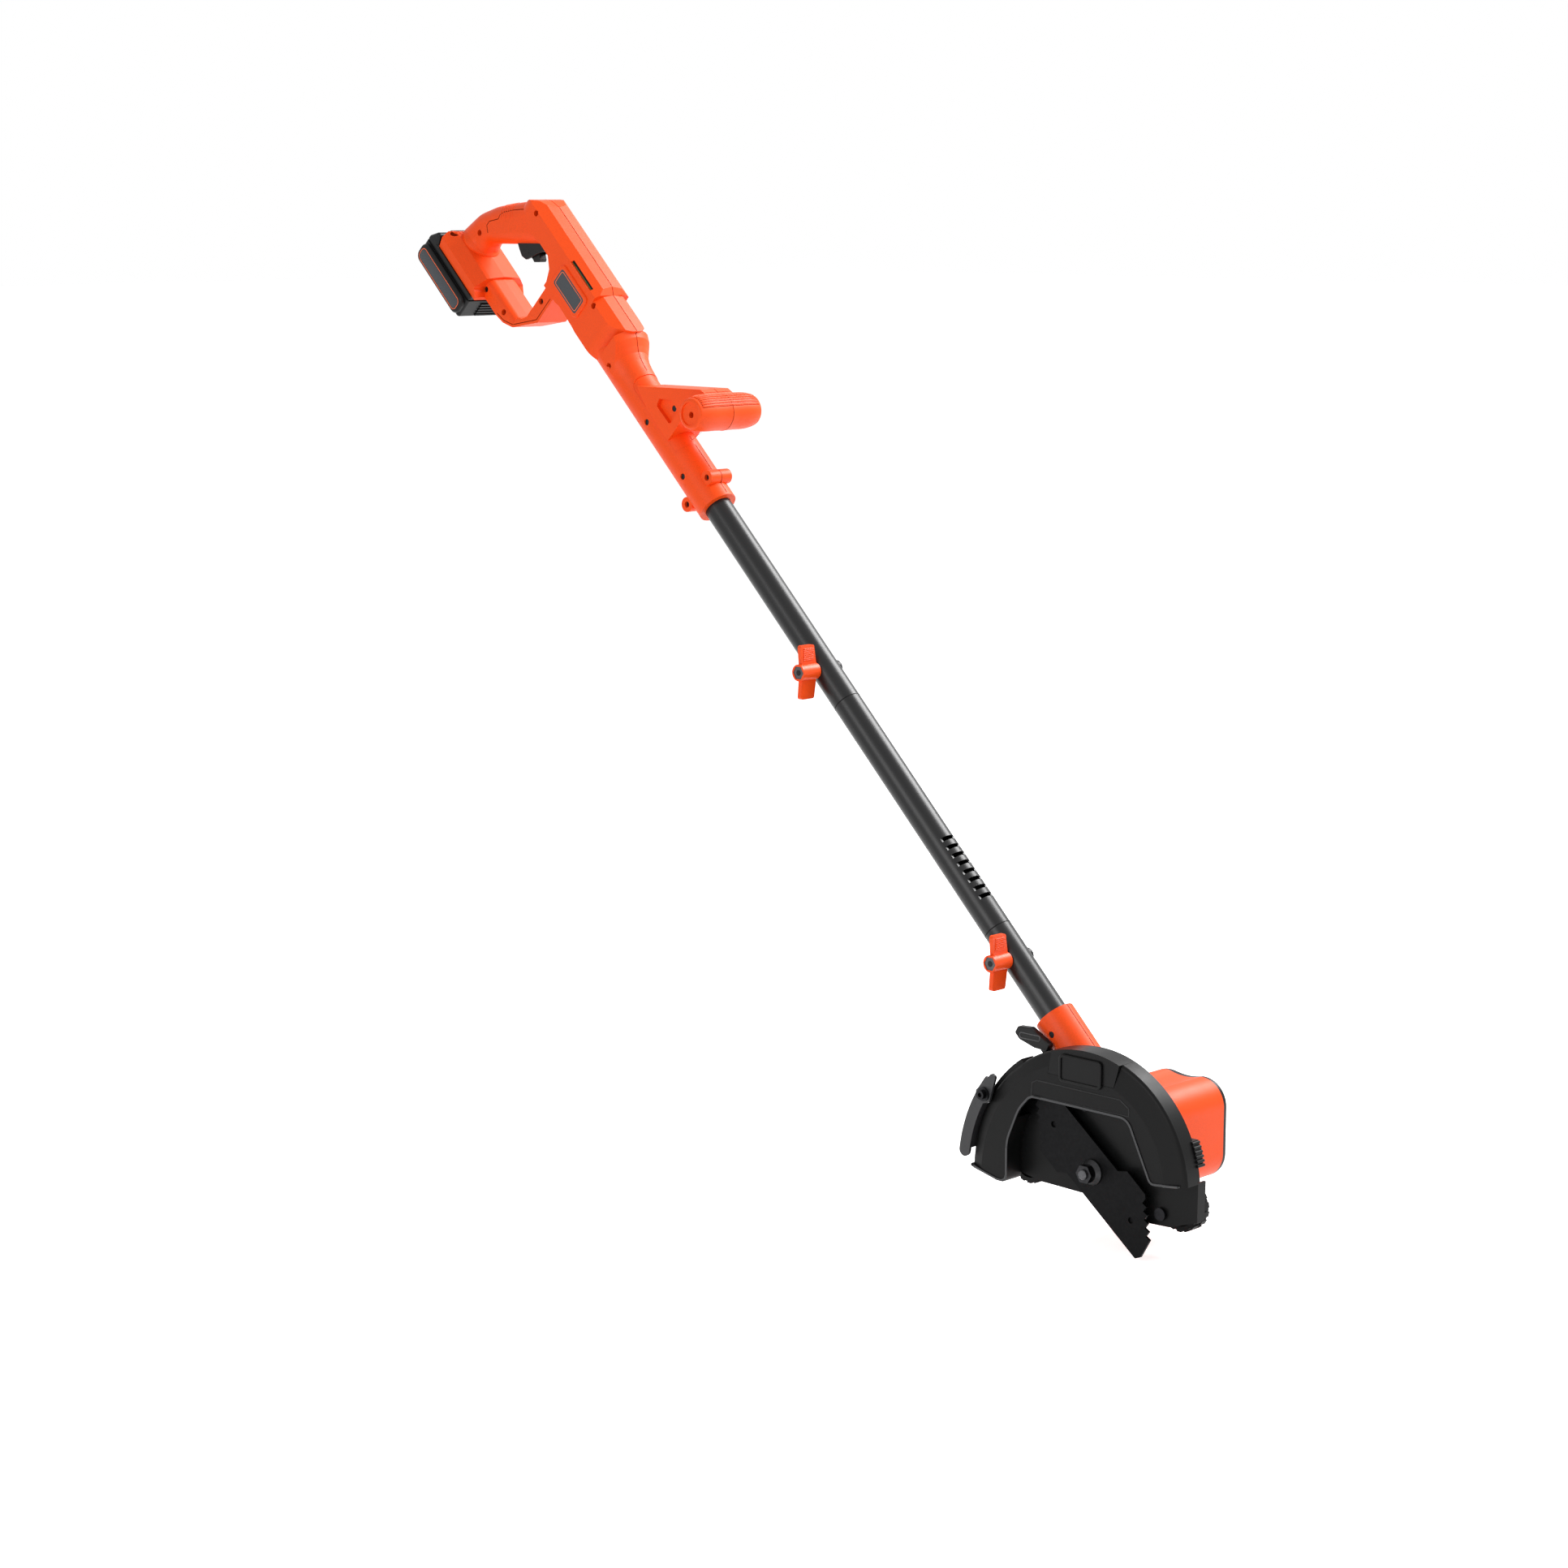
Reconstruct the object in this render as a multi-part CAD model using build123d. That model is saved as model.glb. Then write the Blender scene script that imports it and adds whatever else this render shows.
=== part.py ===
from build123d import *
import math
import os

# Battery lawn edger: a blade under a guard on the left of a geared motor, a three-piece
# tube shaft leaning back at 45 degrees, and a D-handle that carries the battery pack.
#
# Axes: +X is the direction of travel, +Z is up, -Y is the open side of the guard.
# The origin is the centre of the blade, on the axis of its spindle.

# ---------------------------------------------------------------- driving dimensions, mm and degrees
# Shaft
TUBE_OD = 30.0
TUBE_WALL = 1.5
SHAFT_FOOT_X = 47.4            # the shaft axis passes this far ahead of the spindle at its height
SHAFT_Y = 42.6                 # plane of the shaft axis, behind the blade
TUBE_BOTTOM = 80.0             # distances up the shaft are measured from the foot of its axis
LOWER_JOINT = 296.0
UPPER_JOINT = 591.0
TUBE_TOP = 1010.0
COUPLER_WALL = 1.8
COUPLER_FIT = 0.05
COUPLER_REACH = 70.0
CLAMP_INSET = 45.0             # clamp bolt axis from its tube joint
LOWER_CLAMP_INSET = 35.0
TUBE_SLOTS = 8
TUBE_SLOT_PITCH = 10.4
TUBE_SLOT_WIDTH = 4.5
TUBE_SLOT_START = 34.3         # first slot above the lower joint
TUBE_SLOT_DEPTH = 4.0
# Clamp knobs
KNOB_HUB_R = 8.7
KNOB_LENGTH = 25.0
WING_SPAN = 28.0
WING_THICK = 5.0
WING_RIBS = 9
BOLT_R = 3.0
NUT_AF = 12.7
NUT_DEPTH = 6.0
BOLT_HEAD_R = 8.0
# Blade and spindle
BLADE_TIP_R = 95.25
BLADE_HALF_WIDTH = 25.4
BLADE_THICK = 2.6
BLADE_LUG_WIDTH = 34.2
BLADE_TEETH = 5
BLADE_TOOTH_DEPTH = 4.6
BLADE_HOLE_R = 3.2
BLADE_HOLE_PLACE = 62.3
BLADE_HOLE_DEPTH = 1.8
BLADE_REST_ANGLE = -38.1
SPINDLE_R = 5.0
SPINDLE_FRONT = -17.0
INNER_FLANGE_R = 14.0
INNER_FLANGE_THICK = 4.0
FLANGE_HUB_R = 8.0
OUTER_FLANGE_R = 12.8
OUTER_FLANGE_THICK = 6.0
BLADE_NUT_AF = 16.8
BLADE_NUT_THICK = 7.0
BEARING_R = 13.0
BEARING_WIDTH = 8.0
# Gears
GEAR_MODULE = 1.0
GEAR_TEETH = 49
PINION_TEETH = 13
GEAR_WIDTH = 7.0
GEAR_BACKLASH = 0.3
MOTOR_ANGLE = 64.42            # direction from the spindle to the motor axis
# Motor
MOTOR_R = 22.0
MOTOR_FRONT = 52.0
MOTOR_LENGTH = 58.0
MOTOR_WALL = 1.6
MAGNET_THICK = 5.0
ARMATURE_R = 14.6
MOTOR_SHAFT_R = 2.5
MOTOR_BEARING_R = 6.0
FAN_R = 18.0
FAN_DEPTH = 6.5
# Guard
GUARD_R = 122.0                # forward outline, about the spindle
GUARD_REAR_R = 147.0           # rear outline, tangent to the forward one at the top
GUARD_FRONT = -12.0
GUARD_BACK = 12.0
GUARD_WALL = 2.6
BEVEL_WIDTH = 25.0
REAR_BEVEL_WIDTH = 14.0
BEVEL_DEPTH = 3.2
RIM_ROUND = 5.0
LEG_BOTTOM = -28.6             # lowest edge of the rear leg
LEG_ROUND = 6.5
MOUTH_TOP = 64.0
MOUTH_REAR = -99.0
BEAD = 0.9
PAD_RAISE = 3.0                # blank pad on the panel at the top of the guard
# Wheels and their carriage
WHEEL_R = 24.0
WHEEL_WIDTH = 18.0
WHEEL_Y = 45.0
AXLE_R = 4.0
FRONT_WHEEL = (78.0, -28.0)
REAR_WHEEL = (-112.0, -18.0)
WHEEL_KNOBS = 16
CARRIAGE_THICK = 4.0
CARRIAGE_R = 100.0
CARRIAGE_BAND = 14.0
CARRIAGE_DROP = 12.7
GUIDE_R = 3.0
LEVER_PIVOT = (-58.0, 88.0)
LEVER_PEG = (-76.0, 94.0)
LEVER_THICK = 3.0
PEG_R = 2.5
FLAP_BOLT_ANGLE = 147.36       # about the centre of the rear outline
FLAP_BOLT_REACH = 5.0
FLAP_REACH = 14.0              # how far the flap stands out behind the rear rim
FLAP_THICK = 2.8
# Head housing
HOUSING_CENTRE = (13.4, 28.0)
HOUSING_HALF_WIDTH = 49.0
HOUSING_HALF_HEIGHT = 50.0
HOUSING_CORNER_R = 27.0
HOUSING_WALL = 2.8
HOUSING_BACK = 125.0
SCOOP_R = 64.0
SCOOP_DEPTH = 3.2
CAP_THICK = 6.0
COLLAR_R = 21.0
COLLAR_TOP = 189.0
COLLAR_SCREW = 170.0
GEAR_CASE_R = 31.0
GEARBOX_PLATE_THICK = 4.0
BOSS_R = 4.6
# Handle
SLEEVE_R = 21.5
SLEEVE_BOTTOM = 860.0
SLEEVE_TOP = 1140.0
BODY_HALF = 25.0
HOOD_TOP = 47.0
HOOD_STEP = 5.5
HOOD_FLAT = 14.0               # half width of the top of the hood, which is a low roof
HOOD_ROOF = 1.5
HOOD_CHAMFER_DROP = 9.0
HOOD_END_ROUND = 15.0
GRIP_HALF = 17.5
GRIP_ROUND = 14.0
LOOP_HALF = 21.0
LOOP_ROUND = 9.0
BOX_HALF = 20.0
BOX_ROOF = 2.5
HOUSING_HALF = 36.0
SHELL_WALL = 3.0
SCREW_R = 2.0
SCREW_HEAD_R = 3.4
SCREW_SINK = 9.0
BADGE_RAISE = 2.0
STEP_END = 1101.0              # centre of the rounded lower end of the hood
# Battery pack
PACK_HALF = 38.0
PACK_BOTTOM = 1262.0
PACK_FLOOR = -132.0
PACK_SEAT = -98.6
PACK_SPLIT = -106.0
PACK_WALL = 2.5
PACK_PAD = 5.0                 # raised pad on each side of the lower case
RAIL_HALF = 20.0
RAIL_STEM = 15.0
CELL_R = 9.0
CELL_LENGTH = 65.0
CELLS = 5
LATCH_HALF = 14.0
# Front handle
FRONT_GRIP = (-556.0, 709.0)
FRONT_GRIP_R = 19.8
FRONT_GRIP_HALF = 46.0
FRONT_GRIP_TAPER = 4.0         # how much smaller the grip is at its ends
FRONT_GRIP_DISH = 1.5
BRACKET_HALF = 20.5
BRACKET_TOP = 733.0
BRACKET_WALL = 3.0
WINDOW_DEPTH = 5.0
SADDLE = (931.0, 1031.0, 9.0)  # lower end, upper end and height of the saddle's edge
# Cable inside the shaft
CABLE_R = 3.0
CABLE_OFFSET = -8.2
CABLE_BEND = 11.0
BOARD_TERMINAL = (1118.0, 1133.0)
# Running clearances
FIT = 0.05
GAP = 0.4

SHAFT = Plane(origin=(SHAFT_FOOT_X, SHAFT_Y, 0), x_dir=(-1, 0, 1), z_dir=(0, 1, 0))
HOUSING_FRONT = GUARD_BACK
FRONT_BEARING_Y = HOUSING_FRONT + 1.4
GEAR_Y = FRONT_BEARING_Y + BEARING_WIDTH + 0.6
GEARBOX_PLATE_Y = GEAR_Y + GEAR_WIDTH + 1.4
SPINDLE_BACK = GEARBOX_PLATE_Y + BEARING_WIDTH + 1.0
TUBE_R = TUBE_OD / 2
TUBE_BORE_R = TUBE_R - TUBE_WALL
UPPER_CLAMP = UPPER_JOINT + CLAMP_INSET
LOWER_CLAMP = LOWER_JOINT - LOWER_CLAMP_INSET
SLEEVE_SCREWS = (905.0, 983.0)
CARRIAGE_Y = GUARD_BACK + 0.3
GUARD_SCREWS = ((-18.0, 60.0), (44.0, 60.0), (-20.0, -12.0), (30.0, -12.0))
GUARD_SCREW_DEPTH = 9.0
FLAP_BOLT_R = 3.0
REAR_CENTRE_Z = GUARD_R - GUARD_REAR_R
FLAP_LUG_R = 7.0
FLAP_LUG = 10.0
VENTS = 6
THUMB_RIBS = 6
BADGE_WEDGE = ((-49.0, 91.8), (-39.5, 140.0), (48.0, 140.0), (34.0, 91.8))
BADGE_WEDGE_INNER = ((-48.7, 92.1), (-39.3, 139.0), (47.5, 139.0), (33.7, 92.1))
# Places in the handle: (s, n) on the shaft, or (x, z) in the object's own axes
TRIGGER_PIVOT = (-822.0, 886.0)
TRIGGER_HALF = 8.5
TRIGGER_MOUTH = (-869.5, -815.5, SHAFT_Y - 8.9, SHAFT_Y + 8.9, 870.0, 896.0)
TAB_PIVOT = (-848.5, 872.0)
TAB_SLOT = 5.0
TAB_PIN_R = 1.5
PIN_R = 2.0
PIN_HALF = 13.0
SWITCH = (-892.0, -852.0, 904.0, 914.0)
SWITCH_HALF = 7.0
BOARD_Y = -16.6
BOARD_THICK = 1.6
BOARD_POSTS = ((1140, 10), (1139, 36), (1188, 36), (1186, 12))
BADGE_PAD = ((1134, -1), (1190, -1), (1190, 29), (1134, 29))
BADGE = ((1138, 3), (1186, 3), (1186, 25), (1138, 25))
VENT = (1140.0, 1183.0, 37.2, 40.4)
RAIL_DEPTH = 7.0
RAIL_HEAD = 3.2
TERMINALS = (PACK_BOTTOM + 10, PACK_BOTTOM + 24, PACK_SEAT + 0.3, -84.0, -16.0, 16.0)
BLADE_PLACES = (-10.5, -3.5, 3.5, 10.5)
LATCH_FLOOR = 1346.0
LATCH_BACK = 1351.0
LATCH_N = (-104.0, -89.0)
LUG_R = 8.0
WIRE_R = 2.0
FRONT_SCREWS = ((-611.0, 711.0), (-555.0, 708.0))
ROOM = 400.0                   # larger than the guard, for cutting shapes
parts = {}


# ---------------------------------------------------------------- small helpers
def slab(outline, y0, y1):
    """An outline drawn in X-Z, extruded from y0 to y1."""
    return extrude(Plane.XZ.offset(-y1) * outline, amount=y1 - y0, dir=(0, -1, 0))


def plate(points, y0, y1, radius=0.0):
    """A closed X-Z outline with rounded corners, extruded from y0 to y1."""
    outline = Polygon(*points, align=None)
    if radius:
        outline = fillet(outline.vertices(), radius)
    return slab(outline, y0, y1)


def rod(x, z, r, y0, y1):
    """A round bar along Y."""
    return Pos(x, (y0 + y1) / 2, z) * Rot(90, 0, 0) * Cylinder(r, y1 - y0)


def ring(x, z, r_out, r_in, y0, y1):
    """A tube along Y."""
    return rod(x, z, r_out, y0, y1) - rod(x, z, r_in, y0 - 1, y1 + 1)


def hexagon(x, z, across_flats, y0, y1):
    """A hexagonal bar along Y."""
    return slab(Pos(x, z) * RegularPolygon(across_flats / 2, 6, major_radius=False), y0, y1)


def shaft_slab(points, d0, d1, radius=0.0):
    """An outline in (up the shaft, out from the shaft), extruded sideways from d0 to d1."""
    outline = Polygon(*points, align=None)
    if radius:
        outline = fillet(outline.vertices(), radius)
    return extrude(Plane.XY.offset(d0) * outline, amount=d1 - d0, dir=(0, 0, 1))


def shaft_thick(outline, half):
    """A sketch in (up the shaft, out from the shaft), thickened the same each side of the shaft's plane."""
    return extrude(Plane.XY.offset(-half) * outline, amount=2 * half, dir=(0, 0, 1))


def along(r, s0, s1, n=0.0, d=0.0):
    """A round bar along the shaft."""
    return Pos((s0 + s1) / 2, n, d) * Rot(0, 90, 0) * Cylinder(r, s1 - s0)


def across(s, n, r, d0, d1):
    """A round bar across the shaft, in its own frame."""
    return Pos(s, n, (d0 + d1) / 2) * Cylinder(r, d1 - d0)


def block(x0, x1, y0, y1, z0, z1):
    """A box between two corners."""
    return Pos((x0 + x1) / 2, (y0 + y1) / 2, (z0 + z1) / 2) * Box(x1 - x0, y1 - y0, z1 - z0)


def on_shaft(body):
    """Place a body made in the shaft's own frame."""
    return SHAFT.location * body


def corners(outline, *places):
    """The corners of an outline nearest to the given places."""
    return [outline.vertices().sort_by_distance(Vector(*place, 0))[0] for place in places]


def add(name, *bodies):
    """Keep one node, made of one or more separate solids."""
    solids = []
    for body in bodies:
        solids.extend(body.solids())
    parts[name] = solids[0] if len(solids) == 1 else Compound(children=solids)


# ---------------------------------------------------------------- shaft
def tube(s0, s1, holes):
    body = along(TUBE_R, s0, s1) - along(TUBE_BORE_R, s0 - 1, s1 + 1)
    for s, r in holes:
        body -= across(s, 0, r, -TUBE_OD, TUBE_OD)
    return body


def make_tubes():
    bolt_hole = BOLT_R + FIT
    screw_hole = SCREW_R + FIT
    sleeve_holes = [(s, screw_hole) for s in SLEEVE_SCREWS]
    add("tube_upper", on_shaft(tube(UPPER_JOINT, TUBE_TOP, [(UPPER_CLAMP, bolt_hole)] + sleeve_holes)))
    middle = tube(LOWER_JOINT, UPPER_JOINT, [])
    for k in range(TUBE_SLOTS):
        s = LOWER_JOINT + TUBE_SLOT_START + k * TUBE_SLOT_PITCH
        half = TUBE_SLOT_WIDTH / 2
        middle -= block(s - half, s + half, TUBE_R - TUBE_SLOT_DEPTH, TUBE_R + 1, -TUBE_R, TUBE_R)
    add("tube_middle", on_shaft(middle))
    lower_holes = [(LOWER_CLAMP, bolt_hole), (COLLAR_SCREW, screw_hole)]
    add("tube_lower", on_shaft(tube(TUBE_BOTTOM, LOWER_JOINT, lower_holes)))


def make_couplers():
    r = TUBE_BORE_R - COUPLER_FIT
    short = COUPLER_REACH * 0.42
    bodies = []
    for low, high, clamp in ((UPPER_JOINT - short, UPPER_JOINT + COUPLER_REACH, UPPER_CLAMP),
                             (LOWER_JOINT - COUPLER_REACH, LOWER_JOINT + short, LOWER_CLAMP)):
        body = along(r, low, high) - along(r - COUPLER_WALL, low - 1, high + 1)
        body -= across(clamp, 0, BOLT_R + FIT, -TUBE_OD, TUBE_OD)
        bodies.append(on_shaft(body))
    add("couplers", *bodies)


def make_clamps():
    bolts = []
    for s in (UPPER_CLAMP, LOWER_CLAMP):
        saddle = across(s, 0, BOLT_HEAD_R, TUBE_R - 4.0, TUBE_R + 3.5)
        saddle = fillet(saddle.edges().sort_by(Axis.Z)[-1], 1.6) - along(TUBE_R, s - 20, s + 20)
        shank = across(s, 0, BOLT_R, -TUBE_R - KNOB_LENGTH, TUBE_R + 1.0)
        bolts.append(on_shaft(saddle + shank))
    add("clamp_bolts", *bolts)
    make_knob("upper", UPPER_CLAMP)
    make_knob("lower", LOWER_CLAMP)


def make_knob(name, s):
    """A wing knob with its moulded-in nut, on the near side of the shaft."""
    place = on_shaft(Pos(s, 0, 0)).position
    x, z = place.X, place.Z
    y1 = SHAFT_Y - TUBE_R - GAP
    y0 = y1 - KNOB_LENGTH
    outline = Polygon((y0 + 1.5, -WING_SPAN), (y1 - 4.0, -WING_SPAN), (y1 - 1.0, -WING_SPAN / 3),
                      (y1 - 1.0, WING_SPAN / 3), (y1 - 4.0, WING_SPAN), (y0 + 1.5, WING_SPAN), (y0 + 4.0, 0),
                      align=None)
    outline = fillet(outline.vertices(), 2.5)
    wing = extrude(Plane.YZ.offset(-WING_THICK / 2) * outline, amount=WING_THICK, dir=(1, 0, 0))
    knob = rod(x, z, KNOB_HUB_R, y0, y1) + Pos(x, 0, z) * wing
    rib_length = KNOB_LENGTH - 11
    for k in range(WING_RIBS):
        rib_z = z + WING_SPAN * 0.45 + k * WING_SPAN * 0.42 / (WING_RIBS - 1)
        knob += Pos(x + WING_THICK / 2, (y0 + y1) / 2, rib_z) * Rot(90, 0, 0) * Cylinder(0.7, rib_length)
    knob -= rod(x, z, BOLT_R + FIT, y0 - 1, y1 + 1)
    knob -= hexagon(x, z, NUT_AF + 0.1, y0 - 1, y0 + NUT_DEPTH)
    add(f"knob_{name}", knob)
    nut = hexagon(x, z, NUT_AF, y0 + 0.6, y0 + NUT_DEPTH) - rod(x, z, BOLT_R + FIT, y0 - 1, y0 + 9)
    add(f"knob_nut_{name}", nut)


def cable_route():
    """The power cable: from the control board down the tubes, then over the motor to its end."""
    start, _ = BOARD_TERMINAL
    low = TUBE_BOTTOM + 14
    return [(start, CABLE_OFFSET, 0), (low, CABLE_OFFSET, 0), (TUBE_BOTTOM - 18, 8, 3), (58, 21, 24),
            (58, 21, MOTOR_FRONT + MOTOR_LENGTH - SHAFT_Y)]


def cable(r):
    path = FilletPolyline(*cable_route(), radius=CABLE_BEND)
    start = Plane(origin=path @ 0, z_dir=path % 0)
    return on_shaft(sweep(start * Circle(r), path=path))


# ---------------------------------------------------------------- blade and spindle
def involute_gear(teeth, addendum, width, y0, bore_r, phase):
    """A spur gear about Y through the origin, with involute flanks from their formula."""
    pitch_r = teeth * GEAR_MODULE / 2
    base_r = pitch_r * math.cos(math.radians(20))
    tip_r = pitch_r + addendum
    root_r = pitch_r - 1.15 * GEAR_MODULE

    def involute(r):
        a = math.acos(min(1.0, base_r / r))
        return math.tan(a) - a

    half = math.pi / (2 * teeth) - GEAR_BACKLASH / (4 * pitch_r) + involute(pitch_r)
    start_r = max(base_r, root_r)
    radii = [start_r + (tip_r - start_r) * k / 4 for k in range(5)]
    points = []
    for tooth in range(teeth):
        centre = phase + 2 * math.pi * tooth / teeth
        flank = [(r, half - involute(r)) for r in radii]
        if start_r > root_r:
            flank.insert(0, (root_r, half))
        points += [(r * math.cos(centre - t), r * math.sin(centre - t)) for r, t in flank]
        points += [(r * math.cos(centre + t), r * math.sin(centre + t)) for r, t in reversed(flank)]
    body = slab(Polygon(*points, align=None), y0, y0 + width)
    return body - rod(0, 0, bore_r, y0 - 1, y0 + width + 1)


def motor_axis():
    reach = GEAR_MODULE * (GEAR_TEETH + PINION_TEETH) / 2
    angle = math.radians(MOTOR_ANGLE)
    return reach * math.cos(angle), reach * math.sin(angle)


def blade_outline():
    """Half of the blade, lug and serrated lead, then the same turned half a turn."""
    w = BLADE_HALF_WIDTH
    half = [(20.6, w), (28.6, BLADE_LUG_WIDTH), (57.1, BLADE_LUG_WIDTH - 0.6)]
    start, end = (60.5, 30.6), (90.2, 2.6)
    run = (end[0] - start[0], end[1] - start[1])
    length = math.hypot(*run)
    inward = (run[1] / length * BLADE_TOOTH_DEPTH, -run[0] / length * BLADE_TOOTH_DEPTH)
    for k in range(BLADE_TEETH):
        near, far = k / BLADE_TEETH, (k + 0.55) / BLADE_TEETH
        half.append((start[0] + run[0] * near, start[1] + run[1] * near))
        half.append((start[0] + run[0] * far + inward[0], start[1] + run[1] * far + inward[1]))
    tip_w = 19.3
    half += [end, (math.sqrt(BLADE_TIP_R ** 2 - tip_w ** 2), -tip_w), (89.5, -w)]
    return half + [(-a, -b) for a, b in half]


def make_blade():
    turn = math.radians(BLADE_REST_ANGLE)
    c, s = math.cos(turn), math.sin(turn)
    points = [(a * c - b * s, a * s + b * c) for a, b in blade_outline()]
    body = plate(points, -BLADE_THICK / 2, BLADE_THICK / 2)
    body -= rod(0, 0, SPINDLE_R, -9, 9)
    for side in (-1, 1):
        x, z = side * BLADE_HOLE_PLACE * c, side * BLADE_HOLE_PLACE * s
        body -= rod(x, z, BLADE_HOLE_R, -BLADE_THICK, BLADE_HOLE_DEPTH - BLADE_THICK / 2)
    add("blade", body)


def make_spindle():
    back_face = BLADE_THICK / 2
    bore = rod(0, 0, SPINDLE_R, SPINDLE_FRONT - 9, SPINDLE_BACK + 9)
    spindle = rod(0, 0, SPINDLE_R, SPINDLE_FRONT, SPINDLE_BACK)
    add("spindle", chamfer(spindle.edges().filter_by(GeomType.CIRCLE), 0.8))
    flange = rod(0, 0, INNER_FLANGE_R, back_face, back_face + INNER_FLANGE_THICK)
    flange += rod(0, 0, FLANGE_HUB_R, back_face, FRONT_BEARING_Y - 0.2)
    add("inner_flange", flange - bore)
    front = -back_face
    rim = front - OUTER_FLANGE_THICK * 0.3
    nut_back = front - OUTER_FLANGE_THICK
    washer = rod(0, 0, OUTER_FLANGE_R, rim, front)
    cone = Cone(OUTER_FLANGE_R, BLADE_NUT_AF / 2 + 1.0, rim - nut_back)
    washer += Pos(0, (rim + nut_back) / 2, 0) * Rot(90, 0, 0) * cone
    add("outer_flange", washer - bore)
    nut = hexagon(0, 0, BLADE_NUT_AF, nut_back - BLADE_NUT_THICK, nut_back)
    corner = BLADE_NUT_AF / 2 * 1.12
    nut &= rod(0, 0, corner, nut_back - BLADE_NUT_THICK, nut_back)
    add("blade_nut", nut - bore)
    mesh_angle = math.radians(MOTOR_ANGLE)
    gear = involute_gear(GEAR_TEETH, 0.7 * GEAR_MODULE, GEAR_WIDTH, GEAR_Y, SPINDLE_R, mesh_angle)
    for k in range(5):
        a = 2 * math.pi * k / 5
        gear -= rod(15.0 * math.cos(a), 15.0 * math.sin(a), 4.0, GEAR_Y - 1, GEAR_Y + GEAR_WIDTH + 1)
    add("spindle_gear", gear)


# ---------------------------------------------------------------- motor
def make_motor():
    mx, mz = motor_axis()
    back = MOTOR_FRONT + MOTOR_LENGTH
    can = ring(mx, mz, MOTOR_R, MOTOR_R - MOTOR_WALL, MOTOR_FRONT, back)
    can += ring(mx, mz, MOTOR_R, MOTOR_BEARING_R, MOTOR_FRONT, MOTOR_FRONT + 2)
    add("motor_can", can)
    magnet_r = MOTOR_R - MOTOR_WALL
    magnets = ring(mx, mz, magnet_r, magnet_r - MAGNET_THICK, MOTOR_FRONT + 8, back - 14)
    magnets -= block(mx - 5, mx + 5, MOTOR_FRONT, back, mz - MOTOR_R, mz + MOTOR_R)
    add("motor_magnets", magnets)
    shaft_hole = rod(mx, mz, MOTOR_SHAFT_R, GEAR_Y - 9, back + 20)
    add("rotor_shaft", rod(mx, mz, MOTOR_SHAFT_R, GEAR_Y - 1.5, back + 7))
    core = rod(mx, mz, ARMATURE_R, MOTOR_FRONT + 9, back - 16)
    for k in range(5):
        a = 2 * math.pi * k / 5
        for r, depth in ((2.6, ARMATURE_R - 3.5), (1.2, ARMATURE_R - 0.4)):
            core -= rod(mx + depth * math.cos(a), mz + depth * math.sin(a), r, MOTOR_FRONT, back)
    commutator = ring(mx, mz, MOTOR_BEARING_R, MOTOR_SHAFT_R, back - 13, back - 4)
    add("armature", core - shaft_hole, commutator)
    fan_back = MOTOR_FRONT - 2.5
    fan_front = fan_back - FAN_DEPTH
    fan = rod(mx, mz, MOTOR_BEARING_R, fan_front, fan_back) + rod(mx, mz, FAN_R, fan_back - 1.5, fan_back)
    for k in range(9):
        vane = block(MOTOR_BEARING_R - 1, FAN_R, fan_front, fan_back - 1, -0.7, 0.7)
        fan += Pos(mx, 0, mz) * Rot(0, k * 40, 0) * vane
    add("motor_fan", fan - shaft_hole)
    phase = math.radians(MOTOR_ANGLE) + math.pi + math.pi / PINION_TEETH
    pinion = involute_gear(PINION_TEETH, 0.7 * GEAR_MODULE, GEAR_WIDTH + 0.6, GEAR_Y - 0.3, MOTOR_SHAFT_R,
                           phase)
    add("motor_pinion", Pos(mx, 0, mz) * pinion)
    end_x, end_z = cable_end()
    bell = rod(mx, mz, MOTOR_R, back, back + 3) + rod(mx, mz, MOTOR_BEARING_R + 2, back, back + 6)
    bell += arm(mx, mz, end_x, end_z, 2.6 * CABLE_R, back, back + 3)
    bell -= rod(mx, mz, MOTOR_SHAFT_R + FIT, back - 9, back + 20)
    brushes = []
    for side in (-1, 1):
        near, far = sorted((mx + side * (MOTOR_BEARING_R + FIT), mx + side * (MOTOR_R - MOTOR_WALL - 4)))
        brush = block(near, far, back - 11, back - 6, mz - 2.5, mz + 2.5)
        arm_x = mx + side * (MOTOR_R - MOTOR_WALL - 6)
        brushes.append(brush + block(arm_x - 2, arm_x + 2, back - 7, back, mz - 2.5, mz + 2.5))
    add("motor_end_bell", bell, *brushes)


def cable_end():
    s, n, _ = cable_route()[-1]
    place = on_shaft(Pos(s, n, 0)).position
    return place.X, place.Z


def make_bearings():
    mx, mz = motor_axis()
    bodies = []
    for y in (FRONT_BEARING_Y, GEARBOX_PLATE_Y):
        bodies.append(ring(0, 0, BEARING_R, SPINDLE_R + FIT, y, y + BEARING_WIDTH))
    bodies.append(ring(mx, mz, MOTOR_BEARING_R, MOTOR_SHAFT_R + FIT, MOTOR_FRONT, MOTOR_FRONT + 4.5))
    add("bearings", *bodies)


# ---------------------------------------------------------------- head housing
def housing_outline(inset=0.0):
    size = (2 * (HOUSING_HALF_WIDTH - inset), 2 * (HOUSING_HALF_HEIGHT - inset))
    return Pos(*HOUSING_CENTRE) * RectangleRounded(*size, HOUSING_CORNER_R - inset)


def scoop(inset, y0, y1):
    """The shallow hollow along the top of the motor housing."""
    x, z = HOUSING_CENTRE[0], HOUSING_CENTRE[1] + HOUSING_HALF_HEIGHT - SCOOP_DEPTH + SCOOP_R
    return rod(x, z, SCOOP_R + inset, y0, y1)


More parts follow.
